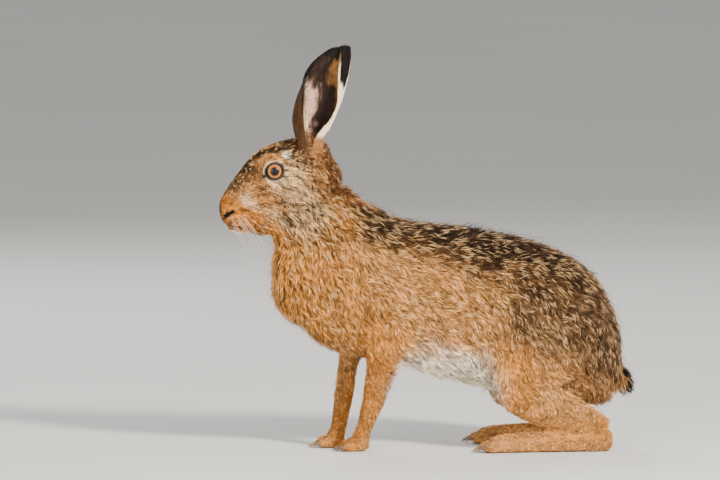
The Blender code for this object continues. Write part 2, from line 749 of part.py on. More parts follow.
def ear_shell(hand, collection):
    """A long scoop whose cup faces out to its own side, rolled near its foot and open above."""
    side, rows = (-1, EAR_LEFT) if hand == "left" else (1, EAR_RIGHT)
    low, high = rows[0][0], rows[-1][0]
    fine = smooth_between(rows, 6)
    turn = Matrix.Rotation(math.radians(side * EAR_TURN), 3, "Z")
    bm = bmesh.new()
    grid = []
    for row in range(EAR_ROWS + 1):
        share = 1 - (1 - row / EAR_ROWS) ** EAR_TIP_CROWDING
        z, x, half_width, front, rear = fine[round(share * (len(fine) - 1))]
        up = (z - low) / (high - low)
        radius = half_width / math.sin(math.radians(min(90, (front + rear) / 2)))
        back = EAR_BACK_FOOT + (EAR_BACK_TIP - EAR_BACK_FOOT) * up**EAR_BACK_SWEEP
        back += EAR_BACK_BOW * math.sin(math.pi * up)
        line = []
        for column in range(EAR_COLUMNS + 1):
            across = column / EAR_COLUMNS
            angle = math.radians(-front + (front + rear) * across)
            offset = turn @ Vector((radius * math.sin(angle), side * radius * (1 - math.cos(angle)), 0))
            line.append(bm.verts.new((Vector((x, side * back, z)) + offset) * MM))
        grid.append(line)
    for near, far in zip(grid, grid[1:]):
        for a, b, c, d in zip(near, near[1:], far[1:], far):
            bm.faces.new((a, b, c, d))
    bmesh.ops.triangulate(bm, faces=bm.faces)
    mesh = bpy.data.meshes.new(f"ear_{hand}")
    bm.to_mesh(mesh)
    bm.free()
    ear = new_object(f"ear_{hand}", mesh, collection)
    wall = ear.modifiers.new("Wall", "SOLIDIFY")
    wall.thickness = EAR_THICKNESS * MM
    wall.offset = 0
    apply_modifiers(ear)
    bm = bmesh.new()
    bm.from_mesh(ear.data)
    ear.data = finished_mesh(ear.name, bm)
    return ear


def grown_copy(name, obj, collection):
    """A cutter as large as the object and the gap round it."""
    grown = new_object(name, obj.data.copy(), collection)
    swell = grown.modifiers.new("Swell", "DISPLACE")
    swell.strength = GAP * MM
    swell.mid_level = 0
    apply_modifiers(grown)
    return as_cutter(grown)


def make_ears(head, parts, cutters):
    """Both ears, each trimmed to the head that it grows from."""
    grown = grown_copy("head_grown", head, cutters)
    nodes = {}
    for hand in ("left", "right"):
        ear = ear_shell(hand, parts)
        boolean(ear, grown, "DIFFERENCE")
        nodes[f"ear_{hand}"] = ear
    return nodes


def make_tail(rump, parts, cutters):
    """The short tail, which hangs from the end of the rump."""
    tail = limb_form("tail", TAIL, parts, steps=2)
    boolean(tail, grown_copy("rump_grown", rump, cutters), "DIFFERENCE")
    return tail


def claws_for(name, foot, places, parts):
    """Short blunt claws, sunk into the toes and joined to the foot."""
    for number, place in enumerate(places):
        bm = bmesh.new()
        bmesh.ops.create_cone(
            bm,
            cap_ends=True,
            segments=CLAW_SIDES,
            radius1=CLAW_RADIUS * MM,
            radius2=CLAW_TIP * MM,
            depth=CLAW_LENGTH * MM,
        )
        point_out = Matrix.Rotation(math.radians(-90 - CLAW_DROOP), 4, "Y")
        bm.transform(Matrix.Translation(Vector(place) * MM) @ point_out)
        claw = new_object(f"{name}_{number}", finished_mesh(name, bm), parts)
        boolean(foot, claw, "UNION")
        bpy.data.objects.remove(claw)


def make_claws(nodes, parts):
    for side, hand, rows in LEG_SIDES:
        x = rows[-1][0] - FORETOE_AHEAD - FORETOE_HALF[0] + CLAW_SUNK
        out, z = rows[-1][4], FORETOE_Z + CLAW_LIFT
        places = [(toe_x(x, offset), side * (out + offset), z) for offset in FORETOES_OUT]
        claws_for("foreclaw", nodes[f"forepaw_{hand}"], places, parts)
        x = HIND_TOE_X - HIND_TOE_HALF[0] + CLAW_SUNK
        out, z = HIND_FOOT[-1][4], HIND_TOE_Z + CLAW_LIFT
        places = [(toe_x(x, offset), side * (out + offset), z) for offset in HIND_TOES_OUT]
        claws_for("hind_claw", nodes[f"hind_foot_{hand}"], places, parts)


def paint(nodes):
    finishes = {}
    for name, (colour, roughness, metallic) in FINISHES.items():
        material = bpy.data.materials.new(name)
        material.use_nodes = True
        shader = material.node_tree.nodes["Principled BSDF"]
        shader.inputs["Base Color"].default_value = (*colour, 1)
        shader.inputs["Roughness"].default_value = roughness
        shader.inputs["Metallic"].default_value = metallic
        finishes[name] = material
    for name, obj in nodes.items():
        finish = "coat_tan"
        if name in ("torso", "rump"):
            finish = "coat_back"
        elif name.startswith("ear"):
            finish = "ear_hide"
        elif name.startswith("eye"):
            finish = "eye_amber"
        elif name == "tail":
            finish = "tail_black"
        obj.data.materials.clear()
        obj.data.materials.append(finishes[finish])
        obj.data.shade_smooth()
        obj.data.set_sharp_from_angle(angle=math.radians(SHARP_ANGLE))


def build_hare():
    clear_scene()
    parts = new_collection("brown_hare")
    cutters = new_collection("cutters")
    forms = new_collection("forms")
    body_forms(forms)
    body = blended_body(forms, cutters)
    for form in list(forms.objects):
        bpy.data.objects.remove(form)
    nodes = part_body(body, parts, cutters)
    carve_face(nodes["head"], cutters)
    nodes.update(make_ears(nodes["head"], parts, cutters))
    nodes["tail"] = make_tail(nodes["rump"], parts, cutters)
    for side, hand in ((-1, "left"), (1, "right")):
        nodes[f"eye_{hand}"] = eyeball(f"eye_{hand}", side, EYE_RADIUS, parts)
    make_claws(nodes, parts)
    paint(nodes)


build_hare()
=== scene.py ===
"""A life-size brown hare, half risen on its forelegs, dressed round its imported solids."""

import math

import bmesh
import bpy
import numpy as np
from mathutils import Matrix, Vector
from mathutils.kdtree import KDTree


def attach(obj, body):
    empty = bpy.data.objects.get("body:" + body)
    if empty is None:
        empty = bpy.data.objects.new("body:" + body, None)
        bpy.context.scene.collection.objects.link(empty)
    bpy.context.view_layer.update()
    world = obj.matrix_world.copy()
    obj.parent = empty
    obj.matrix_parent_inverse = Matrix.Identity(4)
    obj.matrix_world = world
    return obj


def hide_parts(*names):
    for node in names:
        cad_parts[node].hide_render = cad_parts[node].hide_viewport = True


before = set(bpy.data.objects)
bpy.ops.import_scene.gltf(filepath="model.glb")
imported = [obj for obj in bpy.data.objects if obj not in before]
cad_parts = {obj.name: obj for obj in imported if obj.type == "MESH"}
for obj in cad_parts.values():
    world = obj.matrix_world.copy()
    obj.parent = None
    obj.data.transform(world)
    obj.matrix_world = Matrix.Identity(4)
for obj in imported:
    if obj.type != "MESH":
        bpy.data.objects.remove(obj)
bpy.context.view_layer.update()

# Sizes are in millimetres and places are x, y off the middle plane, z, as in the solids
MM = 0.001
FULL_TURN = 2 * math.pi
SEED, WHISKER_SEED, FEELER_SEED = 7, 37, 57
SHOWN_SIDES = ((-1, "left"), (1, "right"))
# A ripple is this many waves added up, brought down to a height of about 1, and each a little longer or shorter
RIPPLE_WAVES, RIPPLE_HEIGHT, RIPPLE_SPREAD = 7, 3.2, (0.6, 1.5)

# The camera
VIEW_TURN, VIEW_RISE = -6, 4
VIEW_TARGET = (-73.7, 0, 231)
VIEW_WIDTH, VIEW_DISTANCE, SENSOR = 792, 9000, 36

# The skin under the coat
SKIN_VOXEL = 1.25
SKIN_GROWTH = 0.25
NODE_MERGE = 1e-6
SKIN_EVENING, LINE_EVENING = (0.5, 5), (0.35, 1)
SKIN_TRIANGLES = 120000
# Head and paws keep more of their faces. The head's care begins at an x and a z, the paws' ends at a height.
HEAD_CARE_FROM = (-95, 232)
FOREPAW_CARE, HIND_FOOT_CARE, PAW_CARE_TOP = -75, (0, 80), 22
CARE_SHARE, CARE_WEIGHT = 0.7, 0.5
# Where the neck meets the back of the head the skin is set in less: the line, its reach and how much less
NAPE_DIP, NAPE_FILL = ((-101, 0, 292), (-98, 16, 288), 15), 0.95
HIDE_ANGLE, HIDE_MARGIN = 66, 0.002

# The eyes
EYE_MIDDLE = (-170.4, 16.2, 308.8)
EYE_RADIUS = 12.2
EYE_OPENING = (10.0, 8.8)
EYE_LEAN = 20
EYE_SEGMENTS, EYE_RINGS = 64, 32
IRIS_RADIUS, PUPIL_RADIUS = 10, 4.5
# Beyond the eyeball, where the skin begins to be set in under the coat and where it is so in full
SOCKET_BARE, SOCKET_COVERED = 2, 9
# The lids' rim: half its thickness and height, its lift off the eyeball, and how it narrows to its corners
LID_RIM, LID_RISE, LID_LIFT = 1.0, 1.3, 0.6
LID_SEGMENTS, LID_SIDES, RING_THICKNESS = 72, 10, 0.25
LID_CORNER, BACK_CORNER, CORNER_SHARPNESS, CORNER_THINNING = 0.06, 0.35, 6, 0.3
# The bare skin round the opening and the shares of the opening over which its dark edge fades
BARE_LID, LID_DARK = 1.2, (0.97, 1.06)
# The shares of the opening over which the fur turns off the eye, and how strongly; and a share for no eye near
PARTED, PARTING = (1.3, 2.1), 1.3
NO_EYE = 9

# The claws: where each foot's toes end, and how they spread
CLAW_LENGTH, CLAW_RADIUS, CLAW_TIP, CLAW_BEND, CLAW_DROOP = 10.5, 1.7, 0.3, 2.2, 14
CLAW_SIDES, CLAW_CUTS, CLAW_FLATNESS, CLAW_EDGE = 10, 3, 0.75, 50
FORE_TOES = {"left": (-98, 22), "right": (-120.5, 22)}
FORETOE_Z, FORETOES_OUT = 6, (-8.4, -2.9, 2.9, 8.4)
HIND_TOE_X, HIND_TOE_OUT = 52, 54.5
HIND_TOE_Z, HIND_TOES_OUT = 7, (-11.4, -3.9, 3.9, 11.4)
TOE_SET_BACK = 1.6
# The furrows between the toes: reach, depth, how dark their painted shade is and how deep in one no tuft grows;
# how far they run back on each foot; and where they begin and rise to
FURROW_REACH, FURROW_DEPTH, FURROW_SHADE, BARE_FURROW = 1.8, 2.4, 0.6, 0.75
FORE_FURROW, HIND_FURROW = 9, 15
FURROW_AHEAD, FURROW_LOW, FURROW_HIGH = 1, 3, 6

# Whiskers and the few long hairs of the face
STRAND_STEPS, STRAND_TAPER = 9, 0.85
WHISKER_RADIUS, FEELER_RADIUS = 0.17, 0.12
WHISKER_ROWS, WHISKERS_IN_ROW = 3, 5
WHISKER_START, WHISKER_SPAN, WHISKER_ROW_DROP = (-218, 9.5, 262), (15, 3.5, -1.2), 3.6
WHISKER_SCATTER, WHISKER_WAVER = 0.5, 0.1
# The way they point: back, and more so further back; out; and down, more so in each lower row
WHISKER_BACK, WHISKER_OUT, WHISKER_DOWN = (0.25, 0.3), (0.4, 0.8), (-0.25, -0.15)
WHISKER_LENGTHS, WHISKER_DROOPS = (34, 58), (0.25, 0.6)
FEELER_ROOTS = ((-178, 19, 320), (-182, 18, 317), (-174, 20, 322), (-206, 8, 291), (-212, 7, 284), (-203, 9, 294))
FEELER_BACK, FEELER_WAVER, FEELER_OUT, FEELER_UP = -0.55, 0.15, (0.2, 0.5), 0.8
FEELER_LENGTHS, FEELER_DROOPS = (14, 26), (-0.1, 0.2)

# The ears: rows of height, x of the middle, half width and how far each edge curls
EAR_LEFT = (
    (318, -129, 10.5, 172, 172),
    (340, -128.5, 13, 168, 165),
    (352, -127.5, 15, 156, 142),
    (364, -124, 17.8, 142, 114),
    (381, -120, 20.5, 130, 92),
    (398, -118, 20.2, 118, 80),
    (414, -116.5, 19, 104, 74),
    (426, -112.5, 16, 90, 68),
    (435, -107.5, 11.2, 76, 62),
    (441, -103.8, 6.8, 62, 56),
    (443.6, -102.5, 3, 50, 50),
)
EAR_RIGHT = (
    (318, -128, 10.5, 172, 172),
    (340, -126, 14, 164, 160),
    (352, -122, 18.8, 142, 130),
    (364, -118.5, 22.5, 120, 104),
    (381, -112.5, 24.5, 102, 86),
    (398, -107, 24, 92, 76),
    (414, -101.5, 21.8, 86, 72),
    (426, -96.5, 17.5, 78, 68),
    (435, -92, 12, 70, 62),
    (441, -88.5, 7.2, 60, 56),
    (443.5, -87, 3.2, 50, 50),
)
EAR_BACK_FOOT, EAR_BACK_TIP, EAR_BACK_BOW, EAR_BACK_SWEEP = 3, 22, 5, 1.4
EAR_TURN = 8
EAR_WALL = 1.7
EAR_ROWS, EAR_COLUMNS, EAR_ROW_STEPS = 64, 40, 12
EAR_TIP_CROWDING = 1.3
# Skin within this reach of an ear's sheet belongs to it. It is looked for only beyond these x, y and z.
EAR_REACH = 2.4
EAR_BOX = (-158, -6, 322)
# The ears' patches of colour wander, and fine streaks run up them
EAR_WANDER, EAR_STREAK, EAR_STREAK_WAY, EAR_STREAKS = (16, 11, 0.045), (3.2, 12), (1, 1, 0.3), 0.22
EAR_FOOT_BLEND, EAR_FOOT_BLACK = 0.12, 0.15

# How the coat lies. Each row is a place (x, off the middle, z), the way the hair points,
# its length, how far it lifts off the skin in degrees, the coat's depth and the spacing of its tufts.
LIE = {
    "head": (
        ((-227, 3, 266), (0.4, 0.1, 0.9), 2.0, 14, 0.3, 0.75),
        ((-226, 4, 256), (0.7, 0.3, -0.4), 2.2, 14, 0.4, 0.8),
        ((-215, 11, 262), (0.95, 0.2, -0.1), 3.0, 14, 0.7, 0.82),
        ((-210, 8, 280), (0.7, 0.1, 0.6), 3.2, 14, 0.7, 0.82),
        ((-192, 11, 300), (0.75, 0.1, 0.6), 4.4, 16, 1.0, 0.88),
        ((-172, 12, 322), (0.9, 0.1, 0.35), 5.0, 18, 1.2, 0.92),
        ((-150, 12, 331), (1, 0.1, 0.1), 6.0, 22, 1.8, 0.98),
        ((-128, 8, 325), (0.6, 0.1, 0.2), 6.5, 26, 2.2, 1.1),
        ((-186, 22, 292), (0.95, 0.1, -0.25), 4.0, 14, 0.9, 0.88),
        ((-170, 26, 320), (0.9, 0.1, 0.3), 2.6, 12, 0.4, 0.8),
        ((-170, 28, 296), (0.97, 0.1, -0.25), 2.8, 12, 0.5, 0.8),
        ((-187, 21, 306), (0.5, 0.2, -0.6), 2.2, 12, 0.4, 0.8),
        ((-154, 27, 308), (0.95, 0.1, -0.2), 3.4, 12, 0.5, 0.85),
        ((-150, 30, 306), (0.95, 0.1, -0.3), 6.0, 17, 1.2, 0.98),
        ((-178, 24, 272), (0.95, 0.1, -0.3), 6.5, 17, 1.4, 1.0),
        ((-200, 15, 264), (0.95, 0.1, -0.15), 4.4, 14, 0.8, 0.9),
        ((-204, 9, 246), (0.9, 0.1, -0.4), 4.0, 18, 0.8, 0.9),
        ((-185, 12, 242), (0.8, 0.1, -0.5), 6.5, 22, 1.8, 1.15),
        ((-150, 28, 275), (0.85, 0.1, -0.5), 10, 22, 3.0, 1.3),
        ((-128, 28, 296), (0.7, 0.1, -0.7), 10, 22, 3.0, 1.3),
        ((-126, 20, 316), (0.6, 0.2, -0.6), 7.0, 22, 2.0, 1.15),
    ),
    "neck": (
        ((-97, 8, 306), (0.45, 0.1, -0.9), 11, 24, 3.8, 1.5),
        ((-82, 10, 285), (0.75, 0.1, -0.65), 13, 26, 4.8, 1.6),
        ((-112, 30, 272), (0.65, 0.1, -0.75), 14, 24, 4.8, 1.55),
        ((-145, 25, 245), (0.6, 0.1, -0.8), 13, 26, 4.6, 1.55),
        ((-168, 8, 228), (0.45, 0.05, -0.9), 13, 28, 4.8, 1.6),
    ),
    "chest": (
        ((-165, 10, 195), (0.2, 0.1, -1), 15, 26, 5.6, 1.7),
        ((-140, 35, 205), (0.35, 0.15, -0.9), 15, 24, 5.6, 1.7),
        ((-150, 12, 150), (0.45, 0, -0.9), 15, 28, 5.8, 1.7),
        ((-115, 10, 115), (0.8, 0, -0.6), 13, 28, 5.0, 1.7),
    ),
    "shoulder": (
        ((-95, 48, 215), (0.55, 0.1, -0.85), 14, 22, 5.4, 1.65),
        ((-85, 52, 160), (0.4, 0, -0.9), 13, 20, 4.8, 1.6),
        ((-55, 55, 190), (0.8, 0.05, -0.6), 14, 20, 5.2, 1.7),
        ((-60, 45, 115), (0.3, 0, -0.95), 10, 18, 3.6, 1.5),
    ),
    "back": (
        ((-60, 10, 268), (0.9, 0.1, -0.4), 15, 26, 6.0, 1.65),
        ((-20, 25, 250), (0.97, 0.1, -0.2), 16, 24, 6.2, 1.65),
        ((30, 25, 243), (1, 0.1, -0.1), 16, 24, 6.2, 1.65),
        ((90, 25, 234), (0.98, 0.1, -0.2), 16, 24, 6.2, 1.65),
        ((135, 20, 222), (0.92, 0.1, -0.4), 16, 24, 6.0, 1.65),
        ((40, 52, 215), (0.93, 0.05, -0.35), 15, 20, 5.6, 1.65),
    ),
    "flank": (
        ((-15, 62, 175), (0.85, 0, -0.5), 14, 18, 5.0, 1.7),
        ((40, 66, 165), (0.8, 0, -0.6), 14, 18, 5.0, 1.7),
        ((-10, 55, 125), (0.75, -0.1, -0.6), 13, 18, 4.8, 1.7),
        ((30, 45, 90), (0.85, -0.2, -0.4), 14, 22, 5.2, 1.7),
        ((-40, 15, 92), (0.95, 0, -0.1), 13, 22, 4.8, 1.75),
        ((20, 12, 75), (0.95, 0, -0.1), 14, 22, 5.4, 1.75),
    ),
    "rump": (
        ((170, 20, 198), (0.75, 0.1, -0.65), 15, 24, 5.8, 1.65),
        ((198, 20, 160), (0.45, 0.1, -0.9), 15, 24, 5.6, 1.65),
        ((208, 15, 115), (0.2, 0.05, -1), 14, 24, 5.2, 1.65),
        ((160, 50, 170), (0.65, 0.1, -0.75), 14, 20, 5.2, 1.65),
        ((190, 45, 110), (0.2, 0, -1), 13, 20, 4.6, 1.65),
        ((205, 20, 78), (0.3, 0, -0.9), 12, 24, 4.2, 1.6),
    ),
    "thigh": (
        ((75, 68, 130), (0.4, 0, -0.9), 13, 18, 4.6, 1.65),
        ((120, 72, 145), (0.6, 0, -0.8), 13, 18, 4.8, 1.65),
        ((160, 68, 120), (0.35, 0, -0.93), 13, 18, 4.6, 1.65),
        ((70, 62, 80), (0.2, 0, -0.95), 10, 18, 3.4, 1.5),
        ((110, 70, 75), (0.6, 0, -0.8), 11, 18, 3.8, 1.55),
        ((165, 62, 65), (0.7, 0, -0.7), 10, 18, 3.2, 1.5),
    ),
    "leg": (
        ((-80, 25, 95), (0.1, 0, -1), 8, 16, 2.4, 1.35),
        ((-60, 25, 60), (0.05, 0, -1), 6.0, 14, 1.6, 1.2),
        ((-80, 25, 35), (-0.25, 0, -0.95), 5.0, 14, 1.2, 1.15),
        ((-92, 25, 18), (-0.8, 0, -0.6), 4.5, 14, 0.9, 1.1),
        ((-108, 25, 9), (-1, 0, -0.15), 4.5, 12, 0.9, 1.1),
        ((205, 50, 25), (-0.4, 0, -0.9), 6.0, 16, 1.6, 1.3),
        ((150, 52, 22), (-0.95, 0, -0.25), 5.5, 14, 1.4, 1.25),
        ((100, 52, 18), (-1, 0, -0.15), 5.0, 14, 1.2, 1.2),
        ((70, 52, 12), (-1, 0, -0.15), 4.5, 12, 1.0, 1.15),
    ),
    "tail": (
        ((214, 2, 76), (0.35, 0.1, -0.9), 13, 22, 3.4, 1.4),
        ((212, 2, 60), (0.2, 0, -0.95), 13, 22, 3.4, 1.4),
    ),
}
LIE_SHARPNESS, LIE_SOFTENING = 2.6, 9
EAR_LENGTH, EAR_LIFT, EAR_SPACING = 3.2, 12, 1.35
EAR_EDGE, EDGE_LENGTH = 0.955, 1.3
# The long hairs along the front edge of each ear: where across, up and inside it, and their length, lift and way
FRINGE_ACROSS, FRINGE_UP, FRINGE_INSIDE = 0.17, (0.12, 0.86), 0.1
FRINGE_LENGTH, FRINGE_LIFT, FRINGE_WAY = 9, 28, (0.9, 0, 0)
BARE_EAR_LIGHT = 1.8

# Roots are laid in this order of cells, so that neighbours keep the same draws
SAMPLE_CELL = 5
# Tufts draw together into locks, and a few long guard hairs stand out of them
LOCK_SHARE = 0.17
LOCK_TURN, LOCK_BEND, LOCK_PULL = 0.2, 0.14, (0.25, 0.8)
LOCK_REACH, MIDDLE_PULL = 0.45, 0.35
LOCK_TONE, LOCK_TIP = 0.66, 0.58
GUARD_SHARE, GUARD_LENGTH, GUARD_LIFT, GUARD_WIDTH = 0.07, 1.25, 1.9, 0.6
# How much single tufts differ: their turn, bend, length, lift and width
TUFT_TURN, TUFT_BEND = 0.13, 0.06
TUFT_LENGTH, TUFT_LIFT, TUFT_WIDTH = (0.75, 1.15), (0.55, 1.4), (0.7, 1.2)
LIFT_RANGE = (4, 52)
WIDTH_SHARE, WIDTH_RANGE = 0.055, (0.52, 0.74)
# A tuft leaves the skin steeper than its lift and lies down towards its tip
FOOT_LIFT, TIP_LIFT, TIP_BEND = 1.35, 0.4, 2.2
ROOT_DEPTH, ROOT_FLOOR = 0.5, 2.5
# Short fur lies tighter. Waves of turn and lift run through the coat: their sizes, seeds and strengths.
LOOSE_LENGTH, LEAST_LOOSE = 10, 0.35
TURN_WAVES, LIFT_WAVES = ((24, 21, 0.25), (10, 22, 0.12)), ((9, 23, 4),)
# One tuft has three corners at its foot, three in its middle and one at its tip. Its half widths at the foot
# and the middle and its height are shares of its width.
FOOT_HALF, MIDDLE_HALF, TUFT_HEIGHT = 0.4, 0.5, 0.4
TUFT_FACES = (
    ((0, 3, 4), (0, 4, 1), (1, 4, 5), (1, 5, 2), (2, 5, 3), (2, 3, 0))
    + ((3, 6, 4), (4, 6, 5), (5, 6, 3), (0, 1, 2))
)
TUFT_ALONG = (0, 0, 0, 0.5, 0.5, 0.5, 1.0)
TUFT_PATCH = 0.003
TUFT_UNWRAP = ((-1, -1), (1, -1), (0, -1), (-1, 0), (1, 0), (0, 0), (0, 1))
FLOOR_CLEARANCE = 0.05


def tint(red, green, blue):
    """A colour given in the 0 to 255 steps of a screen, as linear light."""
    steps = np.array((red, green, blue)) / 255
    return tuple(float(c) for c in np.where(steps > 0.04045, ((steps + 0.055) / 1.055) ** 2.4, steps / 12.92))


SAND = tint(206, 148, 86)
TAN = tint(208, 142, 68)
RUST = tint(226, 152, 70)
UMBER = tint(54, 37, 24)
SOOT = tint(17, 12, 10)
NAPE = tint(132, 82, 44)
CREAM = tint(244, 214, 168)
WHITE = tint(255, 240, 214)
FACE = tint(168, 112, 60)
GOLD = tint(196, 132, 66)
MUZZLE = tint(186, 112, 34)
CHEEK = tint(232, 192, 140)
GREY_BUFF = tint(106, 78, 54)
FLESH_PINK = tint(205, 164, 148)
CREAM_TIP, BLACK_TIP = tint(234, 194, 142), tint(16, 10, 8)

# The markings: each is a colour laid within a reach of the line from one place to another, with how soft
# its edge is, how much it covers, and the share of its hairs that are tipped with black and with cream.
MARKINGS = {
    "saddle": ((-88, 0, 286), (70, 0, 262), 86, 0.5, UMBER, 0.95, 0.5, 0.22),
    "loin": ((70, 0, 258), (190, 0, 190), 102, 0.5, UMBER, 0.95, 0.5, 0.13),
    "haunch": ((120, 62, 150), (188, 50, 120), 60, 0.7, GREY_BUFF, 0.8, 0.35, 0.2),
    "rump_grey": ((186, 10, 180), (208, 20, 110), 56, 0.6, GREY_BUFF, 0.92, 0.38, 0.18),
    "nape": ((-106, 0, 322), (-76, 0, 284), 36, 0.6, NAPE, 0.95, 0.2, 0.06),
    "neck_side": ((-140, 30, 262), (-100, 38, 262), 36, 0.7, TAN, 0.75, 0.15, 0.3),
    "chest": ((-168, 10, 225), (-140, 20, 140), 62, 0.5, TAN, 0.9, 0.05, 0.18),
    "brisket": ((-152, 0, 138), (-112, 0, 110), 26, 0.7, GREY_BUFF, 0.5, 0.1, 0.2),
    "shoulder": ((-110, 45, 205), (-70, 50, 140), 46, 0.7, TAN, 0.8, 0.08, 0.22),
    "elbow": ((-66, 45, 128), (-40, 45, 104), 38, 0.9, RUST, 0.7, 0.03, 0.08),
    "belly": ((-40, 0, 84), (60, 30, 64), 42, 0.4, WHITE, 1.0, 0.0, 0.0),
    "belly_side": ((-6, 58, 90), (58, 52, 78), 42, 0.6, WHITE, 0.98, 0.0, 0.0),
    "stifle": ((84, 64, 98), (94, 62, 66), 40, 0.9, RUST, 0.85, 0.02, 0.1),
    "hock": ((190, 50, 30), (120, 52, 20), 32, 0.7, TAN, 0.75, 0.05, 0.03),
    "foot": ((110, 52, 15), (56, 52, 12), 28, 0.6, tint(202, 142, 82), 0.85, 0.03, 0.03),
    "foreleg": ((-58, 25, 92), (-96, 25, 8), 30, 0.6, tint(190, 122, 54), 0.9, 0.03, 0.01),
    "tail_under": ((198, 0, 70), (214, 0, 52), 17, 0.4, WHITE, 1.0, 0.0, 0.0),
    "tail_top": ((208, 0, 92), (230, 0, 68), 13, 0.25, SOOT, 1.0, 0.0, 0.0),
    "face": ((-212, 0, 272), (-140, 0, 300), 54, 0.3, FACE, 0.9, 0.22, 0.16),
    "forehead": ((-214, 0, 292), (-138, 0, 338), 26, 0.6, UMBER, 0.8, 0.4, 0.14),
    "over_eye": ((-183, 15, 319), (-164, 22, 323), 8, 0.7, GOLD, 0.85, 0.12, 0.12),
    "brow_front": ((-202, 3, 315), (-187, 8, 327), 6, 0.8, tint(40, 26, 16), 0.88, 0.5, 0.06),
    "brow_back": ((-187, 8, 327), (-160, 16, 333), 6, 0.8, tint(40, 26, 16), 0.88, 0.5, 0.06),
    "tear": ((-197, 11, 312), (-187, 18, 301), 7, 0.9, tint(52, 34, 20), 0.65, 0.35, 0.0),
    "muzzle": ((-222, 4, 268), (-196, 12, 254), 20, 0.6, MUZZLE, 0.88, 0.06, 0.06),
    "nose_top": ((-230, 0, 272), (-214, 0, 284), 8, 0.7, tint(84, 52, 30), 0.6, 0.3, 0.0),
    "nose_tip": ((-230, 0, 268), (-228, 0, 255), 9, 0.6, tint(92, 56, 34), 0.85, 0.1, 0.0),
    "cheek_patch": ((-203, 16, 279), (-194, 18, 272), 11, 0.9, CREAM, 0.45, 0.08, 0.35),
    "under_eye": ((-184, 22, 288), (-164, 28, 286), 10, 0.8, tint(96, 60, 30), 0.7, 0.25, 0.05),
    "cheek": ((-150, 30, 300), (-138, 32, 262), 34, 0.8, CHEEK, 0.8, 0.32, 0.42),
    "nape_top": ((-114, 12, 330), (-94, 8, 296), 26, 0.8, tint(104, 64, 34), 0.85, 0.25, 0.08),
    "temple": ((-152, 20, 330), (-136, 22, 322), 15, 0.8, tint(84, 54, 32), 0.75, 0.4, 0.3),
    "ear_foot": ((-134, 12, 334), (-120, 12, 322), 13, 0.8, tint(104, 68, 40), 0.8, 0.35, 0.12),
    "lower_cheek": ((-176, 24, 262), (-160, 26, 256), 15, 0.8, CREAM, 0.4, 0.08, 0.3),
    "eye_ring": ((-171.4, 28, 308.4), (-169.4, 28, 308.4), 15.2, 0.2, tint(255, 214, 164), 0.95, 0.0, 0.0),
    "eye_corner": ((-183, 22, 303), (-179, 24, 304.5), 3.2, 0.6, SOOT, 0.95, 0.0, 0.0),
    "eye_back": ((-158.8, 19, 327.4), (-157.8, 20, 326.2), 4.8, 0.35, WHITE, 1.0, 0.0, 0.0),
    "chin": ((-212, 0, 240), (-198, 0, 237), 8.5, 0.6, WHITE, 0.8, 0.0, 0.0),
    # The last three are painted shade: darkness in the nostrils, down the cleft of the lip and along the mouth's
    # line
    "nostril": ((-226, 8.5, 257.5), (-216.5, 12.5, 264), 3.2, 0.35, tint(26, 14, 12), 1.0, 0.0, 0.0),
    "philtrum": ((-230, 0, 251), (-230, 0, 262), 1.8, 0.5, tint(52, 30, 22), 0.9, 0.0, 0.0),
    "lips": ((-227, 5, 250.5), (-204, 10.5, 246), 2.2, 0.6, tint(66, 38, 26), 0.9, 0.0, 0.0),
}
# Where no marking lies, the shares of black-tipped and cream-tipped hairs
PLAIN_BLACK, PLAIN_CREAM = 0.14, 0.2
# The edges of markings wider than this wander: the waves' sizes, seeds and strengths
WANDER_FROM, WANDERS = 10, ((42, 3, 0.10), (14, 4, 0.07))
# The coat's mottle: the size and seed of its patches, its strength all over, and how much more on the head
MOTTLES = ((28, 5, 0.17, 0.0), (9, 6, 0.14, 0.2), (4.5, 9, 0.0, 0.3))
DARKEST_MOTTLE = 0.15
HEAD_TO_NECK = (-131, -105)
# Dark waves through the pale cheek, painted shade in the gaps between its locks: the line they lie about and
# their reach, the way across them, their width, the ripple they bend by, how dark they are and how sharp their
# edges
CHEEK_WAVES, CHEEK_FADE = ((-146, 28, 312), (-140, 32, 262), 30), (0.6, 1.0)
CHEEK_ACROSS, CHEEK_WAVE_WIDTH, CHEEK_WAVE_BENDS = (-0.5, 0.0, -0.86), 9, ((16, 8, 2.6),)
CHEEK_WAVE_DARK, CHEEK_WAVE_EDGE = 0.82, (0.15, 0.7)
# Lines pressed into the face, where no hair grows: from, to, reach and depth
FACE_LINES = {
    "nostril": ((-226, 8.5, 257.5), (-216.5, 12.5, 264), 1.9, 2.4),
    "lip_front": ((-228, 2, 251), (-220, 10.5, 249), 1.1, 1.3),
    "lip_middle": ((-220, 10.5, 249), (-204, 10.5, 246), 1.1, 1.2),
    "lip_corner": ((-204, 10.5, 246), (-194, 13, 247), 1.1, 0.9),
    "cleft": ((-229, 0, 251), (-229, 0, 263), 1.1, 1.8),
}


def deselect():
    """Leaves nothing selected."""
    bpy.ops.object.select_all(action="DESELECT")


def take(obj, *others):
    """Selects these alone and makes the first active."""
    deselect()
    for one in (obj, *others):
        one.select_set(True)
    bpy.context.view_layer.objects.active = obj
    return obj


def apply_modifier(obj, kind, **settings):
    """Adds a modifier with these settings and applies it."""
    take(obj)
    bpy.ops.object.modifier_add(type=kind)
    modifier = obj.modifiers[-1]
    for name, value in settings.items():
        setattr(modifier, name, value)
    bpy.ops.object.modifier_apply(modifier=modifier.name)


def edit_all(operator, **settings):
    """Runs an edit mode operator on the whole of the active mesh."""
    bpy.ops.object.mode_set(mode="EDIT")
    bpy.ops.mesh.select_all(action="SELECT")
    operator(**settings)
    bpy.ops.object.mode_set(mode="OBJECT")


def link_object(name, data):
    """A new object in the scene that shows this mesh, light or camera."""
    obj = bpy.data.objects.new(name, data)
    bpy.context.scene.collection.objects.link(obj)
    return obj


